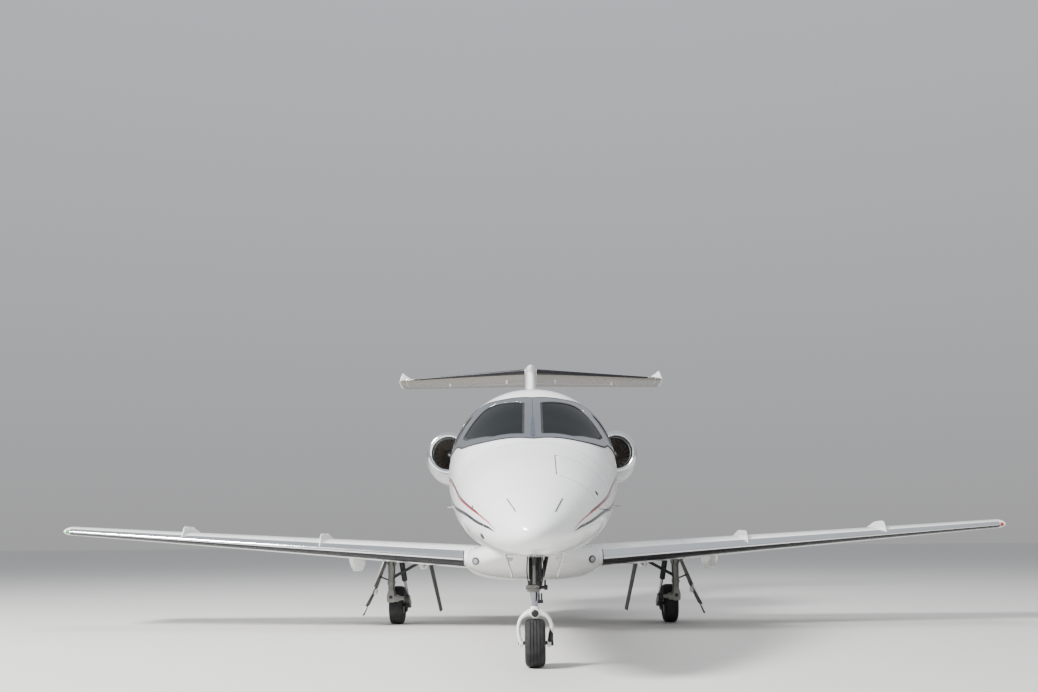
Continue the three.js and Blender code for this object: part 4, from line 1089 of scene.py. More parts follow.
def dress(
    nodes: Sequence[str], finish: Finish, inner: Finish | None = None,
    where: Callable[[Array], Array] | None = None,
) -> None:
    """Gives solids their finish, and another to the faces whose middles a test picks.

    Args:
        nodes: the solids' names.
        finish: the finish of the rest.
        inner: the finish of the faces picked.
        where: the test, which takes the middles of all faces.
    """
    for name in nodes:
        data = NODES[name].data
        NODES[name].modifiers.new("weld", "WELD").merge_threshold = WELD_DISTANCE
        NODES[name].modifiers.new("creases", "EDGE_SPLIT").split_angle = math.radians(SOLID_SHARP)
        data.polygons.foreach_set("use_smooth", np.ones(len(data.polygons), bool))
        data.materials.clear()
        data.materials.append(finish.material())
        if inner and where:
            data.materials.append(inner.material())
            middles = np.empty(len(data.polygons) * 3, np.float32)
            data.polygons.foreach_get("center", middles)
            data.polygons.foreach_set("material_index", where(middles.reshape(-1, 3)).astype(np.int32))
        log.info("dressed %s", name)


def make_on(
    side: Side, base: str, patch: Patch, finish: Finish, slot: str, body: str = "", stands_for: str = "",
    **more: float,
) -> Piece:
    """Makes a port piece or its mirror image, with the side added to every name.

    Args:
        side: the side.
        base: the piece's name.
        patch: the port side's surface.
        finish: its finish.
        slot: the record's material slot.
        body: the body that carries it, or nothing for the airframe.
        stands_for: the solid that it is shown in place of, or nothing.
        more: sharp and bevel, as make takes them.

    Returns:
        The object.
    """
    name = side.name_of
    carrier, solids = name(body) if body else "airframe", [name(stands_for)] if stands_for else []
    return make(name(base), patch.on(side), finish, slot, carrier, stands_for=solids, **more)


# Fuselage


@dataclass
class Body:
    """A long body with superellipse sections whose measures run smoothly over the station.

    A blunt body's measures run over the root of the station, so that its tip is round.
    """

    rows: tuple[tuple[float, ...], ...]
    fullness: float
    blunt: bool = False
    centre: float = 0.0

    def __post_init__(self) -> None:
        """Makes the curves of half width, top, bottom and widest height."""
        table = np.array(self.rows)
        places = np.sqrt(table[:, 0]) if self.blunt else table[:, 0]
        middle = table[:, 4] if table.shape[1] > 4 else (table[:, 2] + table[:, 3]) / 2
        self.curves = [monotone(places, column) for column in (table[:, 1], table[:, 2], table[:, 3], middle)]
        self.shape = raised(self.at)

    def measures(self, station: Array) -> list[Array]:
        """Half width, top, bottom and widest height at stations."""
        place_of = np.sqrt(np.maximum(station, 0)) if self.blunt else station
        return [curve(place_of) for curve in self.curves]

    def at(self, station: Array, angle: Array) -> Array:
        """Points of the surface.

        X is the half width times the cosine, and the rise from the widest height is the height above or
        below it times the sine, each to the power of two over the fullness.

        Args:
            station: the stations.
            angle: the angles, from port through the top.

        Returns:
            The points.
        """
        half, top, bottom, widest = self.measures(station)
        across, up = np.cos(angle), np.sin(angle)
        height = np.where(up >= 0, top - widest, widest - bottom)
        power = 2 / self.fullness
        x, z = self.centre + half * signed_power(across, power), widest + height * signed_power(up, power)
        return place(x, station, z)

    def angle_at(self, station: Array, x: Array | None = None, z: Array | None = None) -> Array:
        """The port side's angle at a height, or the upper side's angle at an X.

        Args:
            station: the stations.
            x: an X, for the upper side.
            z: a height, for the port side.

        Returns:
            The angles.
        """
        half, top, bottom, widest = self.measures(station)
        if z is None:
            return np.arccos(signed_power(np.clip(x / half, -1, 1), self.fullness / 2))
        rise = (z - widest) / np.where(z >= widest, top - widest, widest - bottom)
        return np.arcsin(signed_power(np.clip(rise, -1, 1), self.fullness / 2))

    def side(self, outline: Outline, side: Side = Side.LEFT, step: float = 0.03,
             closed: bool = True) -> Array:
        """A line of station and height on one side, as station and angle.

        Args:
            outline: rows of station and height.
            side: the side.
            step: the longest part of a side.
            closed: whether the line closes.

        Returns:
            Rows of station and angle.
        """
        points = dense(outline, step) if closed else np.asarray(outline, float)
        line = pairs(points[:, 0], self.angle_at(points[:, 0], z=points[:, 1]))
        return line if side is Side.LEFT else mirrored(line)

    def above(self, outline: Outline, step: float = 0.03, closed: bool = True) -> Array:
        """A line of X and station on the upper side, as station and angle."""
        points = dense(outline, step) if closed else np.asarray(outline, float)
        return pairs(points[:, 1], self.angle_at(points[:, 1], x=points[:, 0]))

    def pane(self, outline: Array, rows: int, columns: int, lift: float, under: float) -> Patch:
        """The sheet inside an outline of station and angle, between two heights."""
        return sheet(self.shape, *spans(outline, rows, columns), kept=outline, lift=lift, under=under)

    def pod(self, start: float, end: float, count: int = 20) -> Patch:
        """The whole body between two stations as a closed surface."""
        return Patch.solid(self.at(np.linspace(start, end, count)[:, None], circle(count)[None]))


HULL = Body((
    # station, half width, top, bottom, height of the widest point
    (0.0, 0.0, 1.120, 1.120, 1.120),
    (0.06, 0.128, 1.212, 1.036, 1.120),
    (0.25, 0.262, 1.335, 0.972, 1.135),
    (0.60, 0.425, 1.520, 0.944, 1.195),
    (1.10, 0.590, 1.740, 0.933, 1.300),
    (1.75, 0.728, 1.985, 0.925, 1.450),
    (2.25, 0.800, 2.227, 0.919, 1.580),
    (2.85, 0.862, 2.520, 0.912, 1.700),
    (3.30, 0.889, 2.690, 0.906, 1.765),
    (3.70, 0.898, 2.730, 0.902, 1.785),
    (4.30, 0.900, 2.735, 0.900, 1.790),
    (7.00, 0.900, 2.735, 0.900, 1.790),
    (7.90, 0.850, 2.728, 0.965, 1.830),
    (8.90, 0.725, 2.700, 1.170, 1.920),
    (9.90, 0.545, 2.665, 1.460, 2.050),
    (10.80, 0.372, 2.610, 1.765, 2.180),
    (11.60, 0.228, 2.530, 2.045, 2.285),
    (12.10, 0.120, 2.460, 2.235, 2.345),
    (12.25, 0.0, 2.350, 2.350, 2.350),
), 2.1, blunt=True)
FAIRING = Body((
    # station, half width, top, bottom
    (4.60, 0.260, 1.000, 0.900),
    (4.85, 0.500, 1.030, 0.812),
    (5.15, 0.735, 1.065, 0.710),
    (5.45, 0.850, 1.085, 0.635),
    (6.00, 0.862, 1.090, 0.582),
    (6.90, 0.862, 1.090, 0.585),
    (7.40, 0.840, 1.090, 0.640),
    (7.90, 0.720, 1.100, 0.770),
    (8.35, 0.520, 1.130, 0.925),
    (8.70, 0.260, 1.180, 1.090),
), 2.7)


@dataclass
class Opening:
    """A door or hatch in the port wall: its outline as station and height, and the body that it rides on."""

    name: str
    body: str
    outline: Outline
    gap: float = 0.006


@dataclass
class Fuselage:
    """Skins, glazing, doors' skins, stripes and small fittings of the fuselage."""

    sides: int = 96
    seam: float = 0.005
    frame_lift: float = 0.007
    spans: tuple[tuple[str, float, float, float, str], ...] = (
        # name, from, to, step, slot
        ("radome_skin", 0.0, 0.5575, 0.03, "white_composite"),
        ("nose_skin", 0.5625, 1.6975, 0.05, "white_paint"),
        ("cockpit_skin", 1.7025, 4.1475, 0.06, "white_paint"),
        ("cabin_skin", 4.1525, 7.1475, 0.12, "white_paint"),
        ("rear_skin", 7.1525, 9.8975, 0.12, "white_paint"),
        ("tail_skin", 9.9025, 12.249, 0.09, "white_paint"),
    )
    windshield: Outline = (
        (0.080, 1.935), (0.385, 2.030), (0.560, 2.235), (0.662, 2.425), (0.706, 2.622), (0.610, 2.800),
        (0.520, 2.925), (0.440, 2.945), (0.350, 2.905), (0.080, 2.752),
    )
    side_window: Outline = (
        (2.760, 2.050), (3.120, 2.010), (3.165, 2.070), (3.150, 2.330), (3.095, 2.405), (3.010, 2.330),
    )
    frame_low: Outline = ((0.0, 1.813), (0.405, 1.964), (0.600, 2.165), (0.700, 2.375), (0.752, 2.600))
    frame_side: Outline = (
        (2.700, 1.995), (3.125, 1.955), (3.190, 1.985), (3.222, 2.060), (3.210, 2.340), (3.190, 2.440),
    )
    frame_top: Outline = ((0.520, 3.150), (0.292, 2.978), (0.0, 2.902))
    windows: tuple[float, ...] = (4.42, 5.11, 5.80, 6.49)
    exit_window: float = 5.80
    window_size: tuple[float, float, float] = (0.160, 0.205, 2.010)
    exit: Outline = ((5.54, 1.56), (6.06, 1.56), (6.06, 2.34), (5.54, 2.34))
    airstair: Outline = ((3.28, 1.10), (3.90, 1.10), (3.90, 2.43), (3.28, 2.43))
    well: tuple[float, float, float] = (0.190, 1.085, 1.640)
    hatch: tuple[float, float, float, float] = (0.860, 1.370, 0.190, 1.330)
    # How far the hatch's outline lies below its hinge line, and the skin's hole above that outline
    hatch_points: int = 9
    hatch_drop: float = 0.0005
    hinge_clearance: float = 0.0015
    aft_hatch: tuple[float, float, float, float] = (7.48, 8.12, 1.24, 1.79)
    exit_gap: float = 0.002
    pane_gap: float = 0.006
    # The solids' faces that lie deeper than this share of the section are the inside
    lining_share: float = 0.93
    seam_stations: tuple[float, ...] = (0.56, 1.70, 4.15, 7.15, 9.90)
    # Painted bands on the lower nose: rows of station, height and width
    bands: tuple[tuple[str, tuple[tuple[float, float, float], ...]], ...] = (
        ("red", (
            (0.340, 1.150, 0.003), (0.458, 1.213, 0.010), (0.958, 1.347, 0.014), (1.467, 1.458, 0.015),
            (1.852, 1.572, 0.015), (2.500, 1.668, 0.015), (3.600, 1.712, 0.015), (5.500, 1.725, 0.014),
            (7.000, 1.728, 0.012), (9.300, 1.870, 0.003),
        )),
        ("dark", (
            (0.700, 1.292, 0.004), (0.784, 1.316, 0.010), (1.313, 1.438, 0.014), (2.250, 1.662, 0.016),
            (3.600, 1.765, 0.016), (5.500, 1.780, 0.016), (7.000, 1.782, 0.012), (9.000, 1.890, 0.004),
        )),
        ("dark", (
            (0.350, 1.140, 0.004), (0.376, 1.155, 0.016), (0.697, 1.220, 0.026), (1.072, 1.300, 0.030),
            (1.689, 1.379, 0.034), (2.322, 1.495, 0.034), (3.600, 1.628, 0.034), (5.500, 1.660, 0.032),
            (7.000, 1.668, 0.026), (9.400, 1.830, 0.004),
        )),
    )

    def superellipse(self, station: float, margin: float = 0.0, count: int = 40) -> Array:
        """A cabin window's outline: half sizes times the cosine's and the sine's power of two thirds.

        Args:
            station: the window's middle.
            margin: how much larger it is all round.
            count: how many points it has.

        Returns:
            Rows of station and height.
        """
        half, high, middle = self.window_size
        angle = (np.arange(count) + 0.5) * 2 * np.pi / count
        return pairs(station + (half + margin) * signed_power(np.cos(angle), 2 / 3),
                     middle + (high + margin) * signed_power(np.sin(angle), 2 / 3))

    def hatch_outline(self) -> Array:
        """The nose hatch: its hinge line along the skin, its ends square to that line, its bottom level.

        Returns:
            Rows of station and height.
        """
        start, end, inner, bottom = self.hatch
        stations = np.linspace(start, end, self.hatch_points)
        tops = HULL.at(stations, HULL.angle_at(stations, x=inner))[:, 2] - self.hatch_drop
        slope = (tops[-1] - tops[0]) / (end - start)
        feet = [(s + slope * (top - bottom), bottom) for s, top in ((end, tops[-1]), (start, tops[0]))]
        return np.array([*zip(stations, tops), *feet])

    def aft_hatch_outline(self) -> Array:
        """The aft hatch's corners, level and upright as seen from the side."""
        start, end, low, high = self.aft_hatch
        return np.array([(start, low), (end, low), (end, high), (start, high)])

    def openings(self) -> list[Opening]:
        """The doors and hatches of the port wall, with the emergency exit left to its own method.

        Returns:
            The openings, the airstair first.
        """
        return [
            Opening("airstair_skin", "airstair_door", self.airstair),
            Opening("nose_hatch_skin", "nose_baggage_door", self.hatch_outline()),
            Opening("aft_hatch_skin", "aft_baggage_door", self.aft_hatch_outline()),
        ]

    def band_marks(self) -> tuple[list[Array], list[Finish]]:
        """The painted bands of both sides as outlines in station and angle, with their finishes.

        Returns:
            Each band's outline on each side, and its finish.
        """
        marks, finishes = [], []
        for colour, rows in self.bands:
            table = np.array(rows)
            station = np.linspace(table[0, 0], table[-1, 0], 90)
            height, width = (monotone(table[:, 0], table[:, k])(station) for k in (1, 2))
            edge = np.concatenate([
                pairs(station, height + width / 2), pairs(station, height - width / 2)[::-1],
            ])
            for side in Side:
                marks.append(HULL.side(edge, side, closed=False))
                finishes.append(RED if colour == "red" else NAVY)
        return marks, finishes

    def skin(
        self, name: str, stations: Array, angles: Array, holes: Sequence[Array], slot: str,
        body: str = "airframe",
        kept: Array | None = None,
    ) -> None:
        """Makes one skin with its bands.

        Args:
            name: the piece's name.
            stations: the grid's stations.
            angles: the grid's angles.
            holes: outlines left open, in station and angle.
            slot: the record's material slot.
            body: the body that it rides on.
            kept: an outline outside which nothing stays.
        """
        marks, finishes = self.band_marks()
        cut, used = [], []
        for mark, finish in zip(marks, finishes):
            mark = mark - (0, 2 * np.pi if mark[:, 1].min() > angles[-1] else 0)
            near = (mark[:, 0] > stations[0]) & (mark[:, 0] < stations[-1])
            if near.sum() > 3 and angles[0] <= mark[near, 1].min() and mark[near, 1].max() <= angles[-1]:
                clipped = mark.copy()
                clipped[:, 0] = np.clip(mark[:, 0], stations[0], stations[-1])
                half = len(mark) // 2
                for part in (slice(0, half), slice(half, None)):
                    order = np.argsort(mark[part, 0])
                    clipped[part, 1] = np.interp(clipped[part, 0], mark[part, 0][order], mark[part, 1][order])
                rows = np.unique(np.round(clipped, 6), axis=0, return_index=True)[1]
                cut.append(clipped[np.sort(rows)])
                used.append(finish)
        patch = sheet(HULL.shape, stations, angles, holes, kept, cut, (1.0, 0.8))
        patch.points[:, 1] = np.maximum(patch.points[:, 1], -LENGTH / 2)
        piece = make(name, patch, WHITE, slot, body, 50.0)
        for finish in used:
            piece.data.materials.append(finish.material())

    def build_skins(self) -> None:
        """Makes the skins of the six lengths of the fuselage, cut by every window and opening."""
        airstair, hatch, aft_hatch = (o.outline for o in self.openings())
        hatch[:self.hatch_points, 1] += self.hinge_clearance
        half, start, end = self.well
        corners = [(half, start), (half, end), (-half, end), (-half, start)]
        below = HULL.above(corners) * (1, -1)
        exit_hole = HULL.side(self.exit, Side.RIGHT)
        panes = [HULL.side(self.superellipse(s), side, closed=False) for s in self.windows for side in Side]
        panes = [p for p in panes if not inside(exit_hole, p.mean(axis=0)[None])[0]]
        glass = [HULL.above(self.windshield), HULL.side(self.side_window)]
        glass += [mirrored(outline) for outline in glass]
        cuts = {
            "nose_skin": [HULL.side(hatch), below], "cockpit_skin": [HULL.side(airstair), *glass],
            "cabin_skin": [*panes, exit_hole], "rear_skin": [HULL.side(aft_hatch)],
        }
        for name, first, last, step, slot in self.spans:
            count = max(2, round((last - first) / step) + 1)
            # Stations close up towards the radome's round tip
            power = 2 if name == "radome_skin" else 1
            stations = np.linspace(first**(1 / power), last**(1 / power), count) ** power
            start_angle = -1.5 * np.pi if name == "nose_skin" else -0.5 * np.pi
            angles = start_angle + np.linspace(0, 2 * np.pi, self.sides + 1)
            self.skin(name, stations, angles, cuts.get(name, []), slot)

    def build_doors(self) -> None:
        """Makes the doors' own skins, each inside its opening by the gap."""
        for opening in self.openings():
            outline = HULL.side(grown(opening.outline, -opening.gap))
            rows = max(6, round(np.ptp(outline[:, 0]) / 0.06))
            self.skin(opening.name, *spans(outline, rows, 22), [], "white_paint", opening.body, outline)
        outline = HULL.side(grown(self.exit, -self.exit_gap), Side.RIGHT)
        hole = HULL.side(self.superellipse(self.exit_window), Side.RIGHT, closed=False)
        self.skin("exit_skin", *spans(outline, 12, 20), [hole], "white_paint", kept=outline)

    def build_glass(self) -> None:
        """Makes the panes, their seals and the windshield's polished frame."""
        panes = (
            ("windshield", HULL.above(rounded(grown(self.windshield, -self.pane_gap), 0.03))),
            ("cockpit_side_window", HULL.side(rounded(grown(self.side_window, -self.pane_gap), 0.025))),
        )
        for side in Side:
            for name, port in panes:
                outline = port if side is Side.LEFT else mirrored(port)
                patch = HULL.pane(outline, 24, 18, -0.001, -0.014)
                make(side.name_of(name + "_pane"), patch, PANE, "window_glass",
                     stands_for=[side.name_of(name)])
                seal = ribbon(HULL.shape, outline, 0.030, 0.003, -0.012, True)
                make(side.name_of(name + "_seal"), seal, SEAL, "tyre")
            self.cabin_glass(side)
        low = HULL.above(smooth_path(self.frame_low, 40), closed=False)
        aft = HULL.side(smooth_path(self.frame_side, 40), closed=False)
        top = HULL.above(smooth_path(self.frame_top, 24), closed=False)
        port = np.concatenate([low, aft, top])
        edge = np.concatenate([port, mirrored(port)[::-1][1:-1]])
        holes = [HULL.above(rounded(self.windshield, 0.03)), HULL.side(rounded(self.side_window, 0.025))]
        holes += [mirrored(hole) for hole in holes]
        patch = sheet(
            HULL.shape, np.linspace(1.80, 3.24, 30), np.linspace(0, np.pi, 60), holes, edge,
            lift=self.frame_lift, under=0.001,
        )
        make("windshield_frame", patch, FRAME_METAL, "engine_metal", bevel=0.002)
        make("windshield_frame_seal", ribbon(HULL.shape, edge, 0.014, 0.0085, 0.001, True), SEAL, "tyre")
        self.build_post()

    def cabin_glass(self, side: Side) -> None:
        """Makes one side's cabin panes as one piece, and a rim and a seal round each.

        Args:
            side: the side.
        """
        panes = []
        for station in self.windows:
            pane, ring, seal = (
                HULL.side(self.superellipse(station, margin), side, closed=False)
                for margin in (-0.004, 0.005, -0.008)
            )
            panes.append(HULL.pane(pane, 8, 10, -0.003, -0.012))
            rim = ribbon(HULL.shape, ring, 0.022, 0.0042, 0.001, True)
            make(side.name_of(f"window_rim_{station * 100:.0f}"), rim, WHITE_TRIM, "white_paint")
            gasket = ribbon(HULL.shape, seal, 0.012, 0.001, -0.01, True)
            make(side.name_of(f"window_seal_{station * 100:.0f}"), gasket, SEAL, "tyre")
        name = side.name_of
        make(name("cabin_panes"), Patch.joined(panes), CABIN_PANE, "window_glass",
             stands_for=[name("cabin_windows")])

    def build_post(self) -> None:
        """Makes the post's middle line and the dark tongue on its lower half, which swells and closes."""
        line = pairs(np.linspace(1.83, 2.89, 40), 0.5 * np.pi)
        make("windshield_post_line", ribbon(HULL.shape, line, 0.004, 0.0078, 0.006), SEAL, "tyre")
        share = np.linspace(0, 1, 30)
        tongue = pairs(1.862 + 0.50 * share, 0.5 * np.pi)
        width = 0.052 * (1 - 0.45 * share) * np.sqrt(np.clip(1 - (2 * share - 1) ** 8, 0.004, 1))
        make("windshield_post_tongue", ribbon(HULL.shape, tongue, width, 0.0105, 0.006), POST_BLUE,
             "panel_dark")

    def build_seams(self) -> None:
        """Makes the seams around the fuselage where its lengths meet: a pale one at the radome, dark ones
        elsewhere.
        """
        rings = [
            ribbon(HULL.shape, pairs(s, circle(120)), self.seam, 0.0019, 0.0002, True)
            for s in self.seam_stations
        ]
        make("radome_seam", rings[0], RADOME_SEAM, "tyre")
        make("skin_seams", Patch.joined(rings[1:]), SEAM, "tyre")

    def build_fittings(self) -> None:
        """Makes the lightning strips, probes, ports, aerials and beacons."""
        strips = [[(-0.217, 0.452), (-0.145, 0.230)], [(0.226, 0.464), (0.162, 0.238)]]
        strips = [ribbon(HULL.shape, HULL.above(smooth_path(s, 24), closed=False), 0.007, 0.0055, 0.001)
                  for s in strips]
        make("lightning_strips", Patch.joined(strips), GEAR_DARK, "engine_metal")
        root = HULL.at(2.30, HULL.angle_at(2.30, z=1.40))
        tip = root + (0.052, 0.006, 0)
        way = smooth_path([root - (0.02, 0, 0), root + (0.03, 0.003, 0), tip], 10)
        head = [(0, 0.004), (0.1, 0.0065), (0.75, 0.0065), (1, 0.003)]
        probe = Patch.joined([
            tube(way, np.linspace(0.009, 0.006, 10)), spindle(tip + (0, 0.02, 0), tip - (0, 0.085, 0), head),
            spindle(root - (0.01, 0, 0), root + (0.004, 0, 0), [(0, 0.022), (0.7, 0.022), (1, 0.018)], 28),
        ])
        for side in Side:
            make_on(side, "pitot_probe", probe, STEEL, "engine_metal")
        ports = []
        for station, z, radius, side in (
            (1.062, 1.466, 0.022, Side.LEFT), (0.888, 1.355, 0.012, Side.RIGHT),
            (0.927, 1.271, 0.012, Side.RIGHT),
        ):
            angle = HULL.angle_at(station, z=z)
            ports.append(self.disc(HULL, station, angle if side is Side.LEFT else np.pi - angle, radius))
        make("static_ports", Patch.joined(ports), GEAR_DARK, "engine_metal")
        inlet = np.pi - HULL.angle_at(0.669, z=1.109)
        make("cooling_inlet", self.disc(HULL, 0.669, inlet, 0.026, 1.7), BLACK, "panel_dark")
        aerials = [
            ("top_aerial", 4.9, 0.5 * np.pi, 0.26, 0.17), ("top_rear_aerial", 6.7, 0.5 * np.pi, 0.2, 0.1),
            ("belly_aerial", 4.2, -0.5 * np.pi, 0.2, 0.13),
        ]
        for name, station, angle, chord, height in aerials:
            make(name, self.blade(station, angle, chord, height), WHITE_TRIM, "white_paint")
        beacon = HULL.at(5.6, 0.5 * np.pi)
        lamp = spindle(beacon - (0, 0, 0.01), beacon + (0, 0, 0.062), [
            (0, 0.045), (0.3, 0.045), (0.34, 0.036), (0.7, 0.034), (0.9, 0.022), (1, 0.006),
        ], 28)
        make("beacon", lamp, RED_LAMP, "window_glass")

    def disc(
        self, body: Body, station: float, angle: float, radius: float, stretch: float = 1.0,
        lift: float = 0.0,
    ) -> Patch:
        """A small round plate on a body's surface.

        Args:
            body: the body.
            station: the plate's middle along the body.
            angle: its middle around the body.
            radius: its radius.
            stretch: how much longer it is along the body.
            lift: height of its foot.

        Returns:
            The plate.
        """
        turn = circle(28)[:, None]
        centre = body.at(station, angle)
        normal = body.shape(station, angle, 1.0) - centre
        centre = centre + normal * lift
        along = np.cross(normal, np.cross((0, 1, 0), normal))
        along /= np.linalg.norm(along)
        across = np.cross(normal, along)
        flat = np.cos(turn) * along * stretch + np.sin(turn) * across
        levels = ((0.0, 1.0), (0.004, 1.0), (0.005, 0.9))
        rings = np.stack([centre + normal * height + flat * radius * share for height, share in levels])
        return Patch.solid(rings)

    def blade(self, station: float, angle: float, chord: float, height: float) -> Patch:
        """A swept blade aerial: a lens section that narrows and leans aft as it rises from the skin.

        Args:
            station: where it stands.
            angle: the top or the bottom.
            chord: its length at the foot.
            height: its height.

        Returns:
            The aerial.
        """
        root = HULL.at(station, angle)
        out = math.copysign(1.0, math.sin(angle))
        rise = np.linspace(-0.1, 1, 9)[:, None]
        around = circle(24)[None]
        narrow = 1 - 0.55 * np.maximum(rise, 0)
        tip = np.sqrt(np.clip(1 - np.maximum(rise, 0) ** 6, 0.02, 1))
        x = root[0] + 0.012 * narrow * tip * np.sin(around)
        y = root[1] + chord * (0.45 * np.maximum(rise, 0) + 0.5 * narrow * tip * np.cos(around))
        z = root[2] + out * height * rise + 0 * around
        return Patch.solid(np.stack(np.broadcast_arrays(x, y, z), axis=-1))

    def dress_solids(self) -> None:
        """Finishes the solids beneath: white outside, lined inside, primed in the nose wheel's well."""
        def within(middles: Array) -> Array:
            """Faces well under the surface, by the superellipse's measure of their place.

            Args:
                middles: the middles of the faces.

            Returns:
                Whether each face is inside.
            """
            station = middles[:, 1] + LENGTH / 2
            half, top, bottom, widest = HULL.measures(station)
            rise = (middles[:, 2] - widest) / np.where(middles[:, 2] >= widest, top - widest, widest - bottom)
            reach = np.abs(middles[:, 0] / half) ** HULL.fullness + np.abs(rise) ** HULL.fullness
            return reach < self.lining_share

        dress(["radome"], WHITE)
        dress(["fuselage_nose"], WHITE, BAY_PRIMER, within)
        shells = ["fuselage_forward", "fuselage_centre", "fuselage_rear", "tail_cone", "airstair_door"]
        dress([*shells, "nose_baggage_door", "aft_baggage_door", "emergency_exit"], WHITE, LINING, within)
        dress(["belly_fairing"], WHITE)

    def build_fairing(self) -> None:
        """Makes the belly fairing's skin and its lamps."""
        patch = sheet(FAIRING.shape, np.linspace(4.6, 8.7, 60), np.linspace(-np.pi - 0.5, 0.5, 96))
        make("belly_fairing_skin", patch, WHITE, "white_composite", sharp=SKIN_SHARP)
        for side, station, z in ((Side.LEFT, 5.125, 0.857), (Side.RIGHT, 5.110, 0.844)):
            angle = FAIRING.angle_at(station, z=z)
            rim = self.disc(FAIRING, station, angle, 0.046, 1.8, 0.001)
            glass = self.disc(FAIRING, station, angle, 0.032, 1.8, 0.003)
            make_on(side, "landing_lamp_rim", rim, BLACK, "engine_metal")
            make_on(side, "landing_lamp", glass, LAMP, "window_glass")

    def build(self) -> None:
        """Builds the fuselage's pieces."""
        self.dress_solids()
        self.build_skins()
        self.build_doors()
        self.build_glass()
        self.build_seams()
        self.build_fittings()
        self.build_fairing()


# Wings and tail


def half_thickness(share: Array, thickness: Array) -> Array:
    """Half thickness of a section as a share of its chord: the usual five-term root polynomial.

    Args:
        share: places along the chord, from 0 to 1.
        thickness: the section's thickness over its chord.

    Returns:
        The half thickness.
    """
    return 5 * thickness * (
        0.2969 * np.sqrt(share) - 0.126 * share - 0.3516 * share**2 + 0.2843 * share**3 - 0.1036 * share**4
    )


